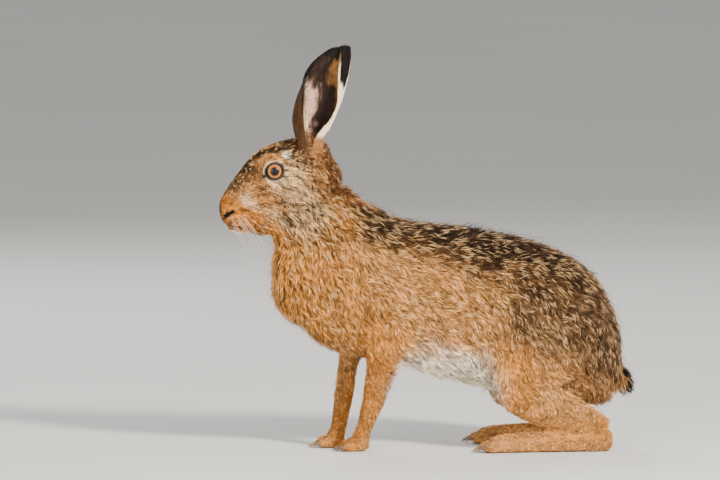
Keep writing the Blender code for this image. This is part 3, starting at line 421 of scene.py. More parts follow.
def read_rows(items, field, width, kind=np.float32):
    """One field of all of a mesh's vertices, loops or triangles, a row for each."""
    flat = np.empty(len(items) * width, kind)
    items.foreach_get(field, flat)
    return flat.reshape(-1, width)


def coordinates(mesh):
    """The mesh's points, in millimetres."""
    return read_rows(mesh.vertices, "co", 3).astype(float) / MM


def outward(mesh):
    """The way out of the surface at each point of the mesh."""
    return read_rows(mesh.vertices, "normal", 3).astype(float)


def set_coordinates(mesh, points):
    """Moves the mesh's points to these places, in millimetres."""
    mesh.vertices.foreach_set("co", (points * MM).astype(np.float32).ravel())
    mesh.update()


def opaque(colour):
    """Colours with a full fourth value."""
    return np.hstack((colour, np.ones((len(colour), 1))))


def add_colour(mesh, name, values):
    """A colour attribute with one value for each point of the mesh."""
    layer = mesh.color_attributes.new(name=name, type="FLOAT_COLOR", domain="POINT")
    layer.data.foreach_set("color", values.astype(np.float32).ravel())


def unit(vectors):
    """The vectors, each made one long."""
    return vectors / np.maximum(np.linalg.norm(vectors, axis=-1, keepdims=True), 1e-9)


def soft_step(low, high, value):
    """0 under low, 1 over high and a smooth rise between."""
    share = np.clip((value - low) / (high - low), 0, 1)
    return share * share * (3 - 2 * share)


def ripple(points, size, seed):
    """A smooth wandering value from -1 to 1, whose waves are about size across."""
    draw = np.random.default_rng(seed)
    total = np.zeros(len(points))
    for _ in range(RIPPLE_WAVES):
        way = unit(draw.normal(size=3)) * (FULL_TURN / size) * draw.uniform(*RIPPLE_SPREAD)
        total += np.sin(points @ way + draw.uniform(0, FULL_TURN))
    return total / RIPPLE_HEIGHT


def ripples(points, rows):
    """Ripples added up, each with its size, seed and strength."""
    return sum(ripple(points, size, seed) * strength for size, seed, strength in rows)


def mirrored(points):
    """The places with y as a distance off the middle plane."""
    return points * (1, 0, 1) + np.abs(points) * (0, 1, 0)


def coat_at(points):
    """How the coat lies at these places: its way, length, lift, depth and spacing, and the region's number."""
    near = mirrored(points)
    total = np.zeros(len(points))
    blend = np.zeros((len(points), 7))
    best = np.full(len(points), np.inf)
    region = np.zeros(len(points), int)
    for number, rows in enumerate(LIE.values()):
        for place, way, length, lift, depth, spacing in rows:
            distance = ((near - place) ** 2).sum(1)
            weight = (distance + LIE_SOFTENING) ** -LIE_SHARPNESS
            blend += weight[:, None] * (*way, length, lift, depth, spacing)
            total += weight
            closer = distance < best
            best[closer] = distance[closer]
            region[closer] = number
    blend /= total[:, None]
    blend[:, 1] *= np.sign(points[:, 1])
    return blend[:, :3], *blend[:, 3:].T, region


def along_line(points, start, end):
    """How far each place is from the line between two points."""
    start, end = np.array(start, float), np.array(end, float)
    step = end - start
    share = np.clip((points - start) @ step / max(step @ step, 1e-6), 0, 1)
    return np.linalg.norm(points - start - share[:, None] * step, axis=1)


def nearness(points, start, end, reach):
    """1 on the line between two points, falling softly to nothing beyond its reach."""
    return np.exp(-((along_line(points, start, end) / reach) ** 2))


def eye_share(near):
    """How far places lie from the middle of the eye, in shares of its opening, and the way out from it."""
    lean = math.radians(EYE_LEAN)
    out = near - EYE_MIDDLE
    along = out[:, 0] * math.cos(lean) + out[:, 2] * math.sin(lean)
    up = out[:, 2] * math.cos(lean) - out[:, 0] * math.sin(lean)
    share = np.hypot(along / (EYE_OPENING[0] + BARE_LID), up / (EYE_OPENING[1] + BARE_LID))
    share[out[:, 1] < 0] = NO_EYE
    return share, unit(out * (1, 0, 1))


def toe_furrows(points):
    """How deep in a furrow between two toes each place lies, from 0 to 1."""
    share = np.zeros(len(points))
    for side, hand in SHOWN_SIDES:
        fore_x, fore_out = FORE_TOES[hand]
        for toe_x, toe_z, out, spread, back in (
            (fore_x, FORETOE_Z, fore_out, FORETOES_OUT, FORE_FURROW),
            (HIND_TOE_X, HIND_TOE_Z, HIND_TOE_OUT, HIND_TOES_OUT, HIND_FURROW),
        ):
            for first, second in zip(spread, spread[1:]):
                y = side * (out + (first + second) / 2)
                start = (toe_x - FURROW_AHEAD, y, toe_z - FURROW_LOW)
                end = (toe_x + back, y, toe_z + FURROW_HIGH)
                share = np.maximum(share, nearness(points, start, end, FURROW_REACH))
    return share


def markings_at(points):
    """The coat's colour and its shares of black-tipped and cream-tipped hairs at these places."""
    near = mirrored(points)
    wander = ripples(points, WANDERS)
    colour = np.tile(np.array(SAND), (len(points), 1))
    black, pale = np.full(len(points), PLAIN_BLACK), np.full(len(points), PLAIN_CREAM)
    for start, end, reach, edge, paint, cover, black_tips, pale_tips in MARKINGS.values():
        away = along_line(near, start, end) / reach
        if reach > WANDER_FROM:
            away += wander
        share = (1 - soft_step(1 - edge, 1.0, away)) * cover
        colour += (np.array(paint) - colour) * share[:, None]
        black += (black_tips - black) * share
        pale += (pale_tips - pale) * share
    lid = 1 - soft_step(*LID_DARK, eye_share(near)[0])
    colour += (np.array(SOOT) - colour) * lid[:, None]
    on_head = 1 - soft_step(*HEAD_TO_NECK, near[:, 0])
    mottle_and_shade = np.ones(len(points))
    for size, seed, strength, head_strength in MOTTLES:
        mottle_and_shade += ripple(points, size, seed) * (strength + head_strength * on_head)
    # Painted shade in the furrows between the toes
    mottle_and_shade *= 1 - FURROW_SHADE * toe_furrows(points)
    # Painted shade: dark waves in the gaps between the cheek's locks
    wave_start, wave_end, wave_reach = CHEEK_WAVES
    on_cheek = 1 - soft_step(*CHEEK_FADE, along_line(near, wave_start, wave_end) / wave_reach)
    bends = ripples(points, CHEEK_WAVE_BENDS)
    waves = np.sin((points @ CHEEK_ACROSS) * FULL_TURN / CHEEK_WAVE_WIDTH + bends)
    mottle_and_shade *= 1 - CHEEK_WAVE_DARK * on_cheek * soft_step(*CHEEK_WAVE_EDGE, waves)
    return colour * np.maximum(mottle_and_shade, DARKEST_MOTTLE)[:, None], black, pale


def curve_through(rows, steps):
    """The rows with steps - 1 more between each two, on a smooth curve through them."""
    rows = np.array(rows, float)
    padded = np.vstack((rows[0], rows, rows[-1]))
    found = []
    for a, b, c, d in zip(padded, padded[1:], padded[2:], padded[3:]):
        slope, bow, twist = c - a, 2 * a - 5 * b + 4 * c - d, 3 * b - a - 3 * c + d
        for step in range(steps):
            t = step / steps
            found.append(0.5 * (2 * b + slope * t + bow * t**2 + twist * t**3))
    found.append(rows[-1])
    return np.array(found)


def ear_point(side, fine, row_share, across):
    """A point of the ear's own sheet: row_share runs from foot to tip, across from its front edge to its rear."""
    share = 1 - (1 - row_share) ** EAR_TIP_CROWDING
    spot = share * (len(fine) - 1)
    whole = min(int(spot), len(fine) - 2)
    z, x, half_width, front, rear = fine[whole] + (fine[whole + 1] - fine[whole]) * (spot - whole)
    low, high = fine[0][0], fine[-1][0]
    up = (z - low) / (high - low)
    radius = half_width / math.sin(math.radians(min(90, (front + rear) / 2)))
    sweep = (EAR_BACK_TIP - EAR_BACK_FOOT) * up**EAR_BACK_SWEEP
    back = EAR_BACK_FOOT + sweep + EAR_BACK_BOW * math.sin(math.pi * up)
    angle = math.radians(-front + (front + rear) * across)
    offset_x, offset_y = radius * math.sin(angle), side * radius * (1 - math.cos(angle))
    turn = math.radians(side * EAR_TURN)
    return (
        x + offset_x * math.cos(turn) - offset_y * math.sin(turn),
        side * back + offset_x * math.sin(turn) + offset_y * math.cos(turn),
        z,
    )


class EarSheet:
    """The middle sheet of one ear, with its grid of points, the way to the tip and the way into the cup."""

    def __init__(self, side, rows):
        self.side = side
        fine = curve_through(rows, EAR_ROW_STEPS)
        ups, acrosses = np.linspace(0, 1, EAR_ROWS + 1), np.linspace(0, 1, EAR_COLUMNS + 1)
        self.grid = np.array([[ear_point(side, fine, up, across) for across in acrosses] for up in ups])
        to_tip = np.gradient(self.grid, axis=0)
        to_rear = np.gradient(self.grid, axis=1)
        self.to_tip = unit(to_tip).reshape(-1, 3)
        self.into_cup = unit(np.cross(to_tip, to_rear)).reshape(-1, 3) * side
        self.points = self.grid.reshape(-1, 3)
        low, high = self.points[0, 2], self.points[:, 2].max()
        self.up = (self.points[:, 2] - low) / (high - low)
        self.across = np.tile(acrosses, EAR_ROWS + 1)
        self.tree = KDTree(len(self.points))
        for index, point in enumerate(self.points):
            self.tree.insert(point, index)
        self.tree.balance()

    def shell(self):
        """The ear as a thin closed wall."""
        deselect()
        bpy.ops.mesh.primitive_grid_add(x_subdivisions=EAR_COLUMNS, y_subdivisions=EAR_ROWS, size=1)
        ear = bpy.context.object
        order = coordinates(ear.data) * MM + 0.5
        columns = np.rint(order[:, 0] * EAR_COLUMNS).astype(int)
        rows = np.rint(order[:, 1] * EAR_ROWS).astype(int)
        set_coordinates(ear.data, self.grid[rows, columns])
        apply_modifier(ear, "SOLIDIFY", thickness=EAR_WALL * MM, offset=0)
        edit_all(bpy.ops.mesh.normals_make_consistent, inside=False)
        return ear

    def lookup(self, points):
        """For each place, the nearest grid point and how far off it lies."""
        found = [self.tree.find(point)[1:] for point in points]
        return np.array([index for index, _ in found]), np.array([away for _, away in found])


SHEETS = {hand: EarSheet(side, EAR_LEFT if side < 0 else EAR_RIGHT) for side, hand in SHOWN_SIDES}


def ear_places(points, normals):
    """Which places are on an ear, and where there: (on, up, across, inside, way to the tip)."""
    on = np.zeros(len(points), bool)
    up, across, inside = (np.zeros(len(points)) for _ in range(3))
    way = np.zeros((len(points), 3))
    ahead, beside, under = EAR_BOX
    for sheet in SHEETS.values():
        in_box = (points[:, 2] > under) & (points[:, 1] * sheet.side > beside) & (points[:, 0] > ahead)
        likely = np.flatnonzero(in_box)
        if not len(likely):
            continue
        nearest, away = sheet.lookup(points[likely])
        close = likely[away < EAR_REACH]
        nearest = nearest[away < EAR_REACH]
        on[close] = True
        up[close] = sheet.up[nearest]
        across[close] = sheet.across[nearest]
        inside[close] = (normals[close] * sheet.into_cup[nearest]).sum(1)
        way[close] = sheet.to_tip[nearest]
    return on, up, across, inside, way


def lay(colour, paint, share):
    """Lays paint over the colour, where and as thickly as the share says."""
    colour += (np.array(paint) - colour) * np.clip(share, 0, 1)[:, None]


def ear_colours(points, up, across, inside):
    """The ear's markings: a pale cup with a dark band, a cream rear edge, a white back and a black tip.

    Each layer of paint has its own steps. They run in shares of the ear from its front edge to its rear one
    and from its foot to its tip."""
    wander = ripples(points, [EAR_WANDER])
    streak = ripple(points * EAR_STREAK_WAY, *EAR_STREAK)
    spot, high = across + wander, up + wander
    rough_spot, rough_high = spot + streak * 0.03, high + streak * 0.03
    cup = np.tile(np.array(FLESH_PINK), (len(points), 1))
    lay(cup, tint(232, 216, 200), 0.7 * (1 - soft_step(0.16, 0.34, spot)))
    lay(cup, tint(170, 118, 72), 0.9 * (1 - soft_step(0.12, 0.22, spot)) * (1 - soft_step(0.2, 0.36, high)))
    lay(cup, tint(58, 38, 28), soft_step(0.55, 0.9, streak) * 0.6)
    near_tip = soft_step(0.6, 0.72, high)
    lay(cup, tint(122, 84, 50), 0.9 * (1 - soft_step(0.12, 0.25, rough_high)))
    lay(cup, tint(28, 18, 13), 0.985 * soft_step(0.46, 0.58, spot + streak * 0.04) * soft_step(0.1, 0.24, up))
    lay(cup, tint(26, 17, 12), 0.985 * soft_step(0.6, 0.74, rough_high))
    lay(cup, tint(160, 110, 58), 0.9 * soft_step(0.66, 0.84, rough_spot) * near_tip)
    lay(cup, UMBER, 0.7 * soft_step(0.1, 0.6, streak) * near_tip)
    lay(cup, tint(128, 92, 58), 0.5 * soft_step(0.82, 0.92, rough_spot))
    lay(cup, CREAM, 0.85 * (1 - soft_step(0.06, 0.15, spot)) * soft_step(0.2, 0.34, high) * (1 - near_tip))
    back = np.tile(np.array(tint(140, 96, 56)), (len(points), 1))
    lay(back, UMBER, 0.75 * (1 - soft_step(0.2, 0.5, spot)))
    lay(back, SOOT, soft_step(0.3, 0.8, streak) * 0.6 * (1 - soft_step(0.4, 0.6, spot)))
    lay(back, WHITE, 0.95 * soft_step(0.6, 0.72, spot) * soft_step(0.2, 0.27, up))
    lay(back, SOOT, soft_step(0.64, 0.7, high))
    colour = back + (cup - back) * soft_step(-0.2, 0.2, inside)[:, None]
    lay(colour, SOOT, soft_step(0.9, 0.95, high))
    # Painted shadow: a dark line high along the front edge, where the ears overlap
    lay(colour, SOOT, 0.9 * (1 - soft_step(0.02, 0.06, across)) * soft_step(0.4, 0.55, up))
    pale_edge = soft_step(0.22, 0.3, up) * (1 - soft_step(0.82, 0.9, up))
    lay(colour, CREAM, 0.9 * soft_step(0.955, 0.98, across) * pale_edge)
    return colour * (1 + EAR_STREAKS * streak)[:, None]


def colours_at(points, normals):
    """The markings of body and ears, with the shares of black-tipped and cream-tipped hairs."""
    colour, black, pale = markings_at(points)
    on, up, across, inside, _ = ear_places(points, normals)
    blend = soft_step(0.0, EAR_FOOT_BLEND, up[on])
    colour[on] += (ear_colours(points[on], up[on], across[on], inside[on]) - colour[on]) * blend[:, None]
    black[on] = EAR_FOOT_BLACK * (1 - blend)
    pale[on] = 0
    return colour, black, pale


def flesh_copy(name):
    """A node's shape with its loose triangles merged, grown a little to close the gaps between the nodes."""
    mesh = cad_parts[name].data.copy()
    bm = bmesh.new()
    bm.from_mesh(mesh)
    bmesh.ops.remove_doubles(bm, verts=bm.verts, dist=NODE_MERGE)
    bm.to_mesh(mesh)
    bm.free()
    piece = link_object(f"{name}_flesh", mesh)
    set_coordinates(mesh, coordinates(mesh) + outward(mesh) * SKIN_GROWTH)
    return piece


def press_lines(points, normals):
    """Presses the nostrils, the line of the mouth and the furrows between the toes into the skin."""
    near = mirrored(points)
    depth = FURROW_DEPTH * toe_furrows(points)
    for start, end, reach, deep in FACE_LINES.values():
        depth = np.maximum(depth, deep * nearness(near, start, end, reach))
    return points - normals * depth[:, None]


def set_in(points):
    """How far under the coat's outside the skin lies: nothing at the eyes and little at the nape."""
    depth = coat_at(points)[3]
    from_eye = np.linalg.norm(mirrored(points) - EYE_MIDDLE, axis=1)
    depth *= soft_step(EYE_RADIUS + SOCKET_BARE, EYE_RADIUS + SOCKET_COVERED, from_eye)
    depth *= 1 - NAPE_FILL * nearness(mirrored(points), *NAPE_DIP)
    return depth


def thin_out(skin, points):
    """Brings the skin down to its number of triangles, fewer lost on the head and the paws."""
    care = skin.vertex_groups.new(name="care")
    x, z = points[:, 0], points[:, 2]
    on_head = (x < HEAD_CARE_FROM[0]) & (z > HEAD_CARE_FROM[1])
    on_paw = (x < FOREPAW_CARE) | ((x > HIND_FOOT_CARE[0]) & (x < HIND_FOOT_CARE[1]))
    kept = np.flatnonzero(on_head | (on_paw & (z < PAW_CARE_TOP)))
    care.add([int(i) for i in kept], CARE_SHARE, "REPLACE")
    apply_modifier(
        skin,
        "DECIMATE",
        ratio=min(1.0, SKIN_TRIANGLES / (len(skin.data.polygons) * 2)),
        vertex_group="care",
        invert_vertex_group=True,
        vertex_group_factor=CARE_WEIGHT,
        use_collapse_triangulate=True,
    )
    skin.vertex_groups.clear()


def make_skin():
    """One skin for all the flesh, set in under the coat, with the ears grown out of it."""
    flesh = [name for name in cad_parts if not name.startswith(("eye", "ear"))]
    pieces = [flesh_copy(name) for name in flesh]
    skin = take(*pieces)
    bpy.ops.object.join()
    skin.name = skin.data.name = "skin"
    apply_modifier(skin, "REMESH", mode="VOXEL", voxel_size=SKIN_VOXEL * MM)
    apply_modifier(skin, "SMOOTH", factor=SKIN_EVENING[0], iterations=SKIN_EVENING[1])
    points = coordinates(skin.data)
    set_coordinates(skin.data, points - outward(skin.data) * set_in(points)[:, None])
    thin_out(skin, points)
    set_coordinates(skin.data, press_lines(coordinates(skin.data), outward(skin.data)))
    apply_modifier(skin, "SMOOTH", factor=LINE_EVENING[0], iterations=LINE_EVENING[1])
    for sheet in SHEETS.values():
        ear = sheet.shell()
        apply_modifier(skin, "BOOLEAN", object=ear, operation="UNION", solver="EXACT")
        bpy.data.objects.remove(ear)
    take(skin)
    bpy.ops.object.shade_smooth()
    edit_all(bpy.ops.uv.smart_project, angle_limit=math.radians(HIDE_ANGLE), island_margin=HIDE_MARGIN)
    skin.data.uv_layers.active.name = "hide_unwrap"
    return skin


skin = make_skin()


class SkinSamples:
    """Roots for tufts, spread evenly over the skin."""

    def __init__(self, mesh):
        mesh.calc_loop_triangles()
        corners = read_rows(mesh.loop_triangles, "vertices", 3, np.int32)
        loops = read_rows(mesh.loop_triangles, "loops", 3, np.int32)
        uv = read_rows(mesh.uv_layers.active.data, "uv", 2)
        points, normals = coordinates(mesh), outward(mesh)
        middles = points[corners].mean(1)
        first, second, third = (points[corners[:, k]] for k in range(3))
        area = np.linalg.norm(np.cross(second - first, third - first), axis=1) / 2
        spacing = coat_at(middles)[4]
        on_ear = ear_places(middles, normals[corners].mean(1))[0]
        spacing[on_ear] = EAR_SPACING
        cells = np.floor(middles / SAMPLE_CELL).astype(int)
        order = np.lexsort((cells[:, 2], cells[:, 1], cells[:, 0]))
        corners, loops = corners[order], loops[order]
        want = np.cumsum((area / spacing**2)[order])
        draw = np.random.default_rng(SEED)
        count = int(want[-1])
        picks = np.searchsorted(want, np.arange(count) + draw.uniform(0, 1, count))
        picks = np.minimum(picks, len(want) - 1)
        a, b = draw.uniform(0, 1, (2, count))
        over = a + b > 1
        a[over], b[over] = 1 - a[over], 1 - b[over]
        weights = np.stack((1 - a - b, a, b), 1)[:, :, None]
        self.points = (points[corners[picks]] * weights).sum(1)
        self.normals = unit((normals[corners[picks]] * weights).sum(1))
        self.uv = (uv[loops[picks]] * weights).sum(1)
        self.draw = draw


def on_surface(way, normals):
    """The way, laid flat on the skin."""
    return unit(way - normals * (way * normals).sum(1, keepdims=True))


def tuft_mesh(name, base, middle, tip, across, normals, width, colour, hair, uv):
    """One piece of coat. Each tuft is a thin three-sided spike that bends over along the lie."""
    count = len(base)
    wide = width[:, None]
    high = normals * wide * TUFT_HEIGHT
    rings = (
        base - across * wide * FOOT_HALF,
        base + across * wide * FOOT_HALF,
        base + high,
        middle - across * wide * MIDDLE_HALF,
        middle + across * wide * MIDDLE_HALF,
        middle + high,
        tip,
    )
    corners = np.stack(rings, 1)
    corners[..., 2] = np.maximum(corners[..., 2], FLOOR_CLEARANCE)
    faces = np.array(TUFT_FACES)
    per_tuft = len(rings)
    mesh = bpy.data.meshes.new(name)
    mesh.vertices.add(count * per_tuft)
    mesh.vertices.foreach_set("co", (corners * MM).astype(np.float32).ravel())
    index = (faces[None] + (np.arange(count) * per_tuft)[:, None, None]).astype(np.int32)
    mesh.loops.add(index.size)
    mesh.loops.foreach_set("vertex_index", index.ravel())
    mesh.polygons.add(count * len(faces))
    mesh.polygons.foreach_set("loop_start", np.arange(0, index.size, 3, dtype=np.int32))
    mesh.update(calc_edges=True)
    along = np.tile(np.array(TUFT_ALONG), count)[:, None]
    add_colour(mesh, "hair", np.hstack((along, np.repeat(hair, per_tuft, 0))))
    add_colour(mesh, "markings", opaque(np.repeat(colour, per_tuft, 0)))
    places = (uv[:, None] + np.array(TUFT_UNWRAP) * TUFT_PATCH / 2).reshape(-1, 2)
    layer = mesh.uv_layers.new(name="OFBake")
    layer.data.foreach_set("uv", places[index.ravel()].astype(np.float32).ravel())
    mesh.shade_smooth()
    return link_object(name, mesh)


def locks_of(points, draw):
    """The tuft in the middle of the lock that each tuft belongs to."""
    heads = np.flatnonzero(draw.uniform(0, 1, len(points)) < LOCK_SHARE)
    tree = KDTree(len(heads))
    for number, index in enumerate(heads):
        tree.insert(points[index], number)
    tree.balance()
    return heads[[tree.find(point)[1] for point in points]]


def clear_of_bare(points):
    """False where no tuft grows: over the eyes, in the nostrils, between the lips and deep between the toes."""
    near = mirrored(points)
    clear = (eye_share(near)[0] > 1) & (toe_furrows(points) < BARE_FURROW)
    for start, end, reach, _ in FACE_LINES.values():
        clear &= along_line(near, start, end) > reach
    return clear


def tuft_lie(points, normals):
    """The way, length, lift and region of each tuft, with rules of their own for the ears and round the eyes."""
    way, length, lift, _, _, region = coat_at(points)
    on_ear, up, across, inside, to_tip = ear_places(points, normals)
    way[on_ear] = to_tip[on_ear]
    length[on_ear], lift[on_ear] = EAR_LENGTH, EAR_LIFT
    fringe = on_ear & (inside > FRINGE_INSIDE) & (across < FRINGE_ACROSS)
    fringe &= (up > FRINGE_UP[0]) & (up < FRINGE_UP[1])
    length[fringe], lift[fringe] = FRINGE_LENGTH, FRINGE_LIFT
    way[fringe] += FRINGE_WAY
    length[on_ear & (across > EAR_EDGE)] = EAR_LENGTH * EDGE_LENGTH
    region[on_ear] = len(LIE)

    share, from_eye = eye_share(mirrored(points))
    inward = np.minimum((way * from_eye).sum(1), 0) * (1 - soft_step(*PARTED, share)) * PARTING
    way -= from_eye * inward[:, None]
    return way, length, lift, region, on_ear


def make_coat():
    """Every tuft of the coat, in one piece for each region and side."""
    samples = SkinSamples(skin.data)
    points, normals, draw = samples.points, samples.normals, samples.draw
    count = len(points)
    colour, black, pale = colours_at(points, normals)
    way, length, lift, region, on_ear = tuft_lie(points, normals)

    lock = locks_of(points, draw)
    lock_turn, lock_bend = draw.normal(0, LOCK_TURN, count), draw.normal(0, LOCK_BEND, count)
    lock_tone, lock_tip = draw.uniform(0, 1, count), draw.uniform(0, 1, count)
    guard = (draw.uniform(0, 1, count) < GUARD_SHARE) & ~on_ear
    way = on_surface(way, normals)
    loose = np.clip(length / LOOSE_LENGTH, LEAST_LOOSE, 1.0)
    turn = (ripples(points, TURN_WAVES) + lock_turn[lock] + draw.normal(0, TUFT_TURN, count)) * loose
    side = unit(np.cross(normals, way))
    way = way * np.cos(turn)[:, None] + side * np.sin(turn)[:, None]
    side = unit(np.cross(normals, way))
    length = length * draw.uniform(*TUFT_LENGTH, count) * np.where(guard, GUARD_LENGTH, 1)
    lift = lift * draw.uniform(*TUFT_LIFT, count) + ripples(points, LIFT_WAVES) * loose
    lift = np.clip(lift * np.where(guard, GUARD_LIFT, 1), *LIFT_RANGE)
    width = np.clip(length * WIDTH_SHARE, *WIDTH_RANGE) * draw.uniform(*TUFT_WIDTH, count)
    width *= np.where(guard, GUARD_WIDTH, 1)
    bend = ((lock_bend[lock] + draw.normal(0, TUFT_BEND, count)) * loose)[:, None]

    reach = length[:, None] / 2
    first, last = np.radians(lift * FOOT_LIFT)[:, None], np.radians(lift * TIP_LIFT)[:, None]
    base = points - normals * ROOT_DEPTH
    middle = base + (way * np.cos(first) + normals * np.sin(first) - side * bend) * reach
    tip = middle + (way * np.cos(last) + normals * np.sin(last) + side * bend * TIP_BEND) * reach
    pull = (draw.uniform(*LOCK_PULL, count) * np.where(guard | on_ear, 0, 1))[:, None]
    drawn = (tip[lock] - tip) * pull
    furthest = LOCK_REACH * length / np.maximum(np.linalg.norm(drawn, axis=1), 1e-6)
    drawn *= np.minimum(1, furthest)[:, None]
    middle, tip = middle + drawn * MIDDLE_PULL, tip + drawn

    tone = LOCK_TONE * lock_tone[lock] + (1 - LOCK_TONE) * draw.uniform(0, 1, count)
    chance = LOCK_TIP * lock_tip[lock] + (1 - LOCK_TIP) * draw.uniform(0, 1, count)
    rank = np.argsort(np.argsort(chance)) / count
    tipped, light = (rank < black).astype(float), (rank > 1 - pale).astype(float)
    hair = np.stack((tone, tipped, light), 1)

    keep = clear_of_bare(points) & (points[:, 2] > ROOT_FLOOR)
    coats = []
    for number, name in enumerate((*LIE, "ear")):
        for hand_side, hand in SHOWN_SIDES:
            chosen = keep & (region == number) & ((points[:, 1] < 0) == (hand_side < 0))
            parts = (base, middle, tip, side, normals, width, colour, hair, samples.uv)
            coat = tuft_mesh(f"{name}_coat_{hand}", *(part[chosen] for part in parts))
            coats.append((coat, name))
    return coats


# What the shaders hold: how dark the hair is at its root (its own darker base with painted shade deep in the
# coat), how far hairs differ, and the gloss
FUR_LOOK = {"Root shade": 0.3, "Spread": 1.25}
FUR_GLOSS = {"Roughness": 0.6, "Specular IOR Level": 0.14}
# The hide is set darker than the tufts: painted shade in the gaps between them
HIDE_LOOK = {"Along": 0.2, "Root shade": 0.34, "Spread": 0.9}
HIDE_GLOSS = {"Roughness": 0.8, "Specular IOR Level": 0.12}
HIDE_GRAIN, HIDE_BUMP = 900.0, {"Strength": 0.5, "Distance": 0.0006}
EYE_GLOSS = {"Roughness": 0.5, "Specular IOR Level": 0.1}
EYE_WET = {"Coat Weight": 0.35, "Coat IOR": 1.36, "Coat Roughness": 0.02}
IRIS_GRAIN, IRIS_WOBBLE = {"Scale": 9.0, "Detail": 4.0, "Roughness": 0.7}, {1: 0.12, 2: -0.06}
# The eye's colours from its middle outwards, in shares of the iris
PUPIL_SHARE = PUPIL_RADIUS / IRIS_RADIUS
EYE_RINGS_OF_COLOUR = (
    (0.0, (0.004, 0.004, 0.006)),
    (PUPIL_SHARE - 0.02, (0.003, 0.002, 0.003)),
    (PUPIL_SHARE + 0.04, tint(112, 64, 24)),
    (0.56, tint(156, 94, 38)),
    (0.68, tint(164, 104, 46)),
    (0.76, tint(84, 48, 22)),
    (0.83, tint(12, 8, 6)),
)


def new_material(name):
    """A new material, its node tree and its shader."""
    material = bpy.data.materials.new(name)
    material.use_nodes = True
    tree = material.node_tree
    return material, tree, tree.nodes["Principled BSDF"]


def set_values(node, values):
    """Fills in a node's sockets, given by name or number."""
    for socket, value in values.items():
        node.inputs[socket].default_value = value


def add_node(tree, kind, values=None, **settings):
    """A node with these settings, and with these values in its sockets."""
    node = tree.nodes.new(kind)
    set_values(node, values or {})
    for name, value in settings.items():
        setattr(node, name, value)
    return node


def add_grain(tree, scale, detail=3.0):
    """Fine noise that stays with the piece."""
    place = add_node(tree, "ShaderNodeTexCoord")
    grain = add_node(tree, "ShaderNodeTexNoise", values={"Scale": scale, "Detail": detail})
    tree.links.new(place.outputs["Object"], grain.inputs["Vector"])
    return grain.outputs["Fac"]


def add_ramp(tree, amount, stops):
    """The colour that a value picks out of these stops, each a place and a colour."""
    ramp = add_node(tree, "ShaderNodeValToRGB")
    elements = ramp.color_ramp.elements
    while len(elements) < len(stops):
        elements.new(0.5)
    for element, (position, colour) in zip(elements, stops):
        element.position = position
        element.color = (*colour, 1)
    tree.links.new(amount, ramp.inputs["Fac"])
    return ramp.outputs["Color"]


def fur_group():
    """Fur colour from the markings: dark at the root with painted shade over the hair's own darker base, lighter
    or darker by hair, tipped with black or cream.
    """
    group = bpy.data.node_groups.new("fur_tone", "ShaderNodeTree")
    for name in ("Markings", "Along", "Tone", "Black tip", "Cream tip", "Root shade", "Spread"):
        kind = "NodeSocketColor" if name == "Markings" else "NodeSocketFloat"
        group.interface.new_socket(name=name, in_out="INPUT", socket_type=kind)
    group.interface.new_socket(name="Colour", in_out="OUTPUT", socket_type="NodeSocketColor")
    come = group.nodes.new("NodeGroupInput")
    go = group.nodes.new("NodeGroupOutput")
    link = group.links.new

    def rising(low, high, most):
        ends = {"From Min": low, "From Max": high, "To Max": most}
        step = add_node(group, "ShaderNodeMapRange", interpolation_type="SMOOTHSTEP", values=ends)
        link(come.outputs["Along"], step.inputs["Value"])
        return step

    def product(first, second):
        times = add_node(group, "ShaderNodeMath", operation="MULTIPLY")
        link(first, times.inputs[0])
        link(second, times.inputs[1])
        return times.outputs[0]

    # Painted shade: the colour darkens towards the root, over the hair's own darker base
    root = rising(0.0, 0.6, 1.0)
    link(come.outputs["Root shade"], root.inputs["To Min"])
    away = add_node(group, "ShaderNodeMath", operation="SUBTRACT", values={1: 0.5})
    link(come.outputs["Tone"], away.inputs[0])
    spread = add_node(group, "ShaderNodeMath", operation="MULTIPLY_ADD", values={2: 1.0})
    link(away.outputs[0], spread.inputs[0])
    link(come.outputs["Spread"], spread.inputs[1])
    scaled = add_node(group, "ShaderNodeVectorMath", operation="SCALE")
    link(come.outputs["Markings"], scaled.inputs[0])
    link(product(root.outputs["Result"], spread.outputs[0]), scaled.inputs["Scale"])
    colour = scaled.outputs["Vector"]
    for socket, tip_colour, low, high, most in (
        ("Cream tip", CREAM_TIP, 0.2, 0.7, 0.75),
        ("Black tip", BLACK_TIP, 0.25, 0.7, 0.9),
    ):
        step = rising(low, high, most)
        mix = add_node(group, "ShaderNodeMix", data_type="RGBA")
        mix.inputs[7].default_value = (*tip_colour, 1)
        link(product(step.outputs["Result"], come.outputs[socket]), mix.inputs[0])
        link(colour, mix.inputs[6])
        colour = mix.outputs[2]
    link(colour, go.inputs["Colour"])
    return group


FUR_TONE = fur_group()


def add_fur_tone(tree, shader, look):
    """The fur's colour from the piece's own markings, on its way to the shader."""
    markings = add_node(tree, "ShaderNodeAttribute", attribute_name="markings")
    tone = add_node(tree, "ShaderNodeGroup", node_tree=FUR_TONE)
    set_values(tone, look)
    tree.links.new(markings.outputs["Color"], tone.inputs["Markings"])
    tree.links.new(tone.outputs["Colour"], shader.inputs["Base Color"])
    return tone


def fur_material():
    """The tufts: what each hair is, from its root to its tip, comes with its mesh."""
    material, tree, shader = new_material("fur")
    link = tree.links.new
    tone = add_fur_tone(tree, shader, FUR_LOOK)
    hair = add_node(tree, "ShaderNodeAttribute", attribute_name="hair")
    split = add_node(tree, "ShaderNodeSeparateColor")
    link(hair.outputs["Color"], split.inputs["Color"])
    for socket, part in (("Along", "Red"), ("Tone", "Green"), ("Black tip", "Blue")):
        link(split.outputs[part], tone.inputs[socket])
    link(hair.outputs["Alpha"], tone.inputs["Cream tip"])
    set_values(shader, FUR_GLOSS)
    return material


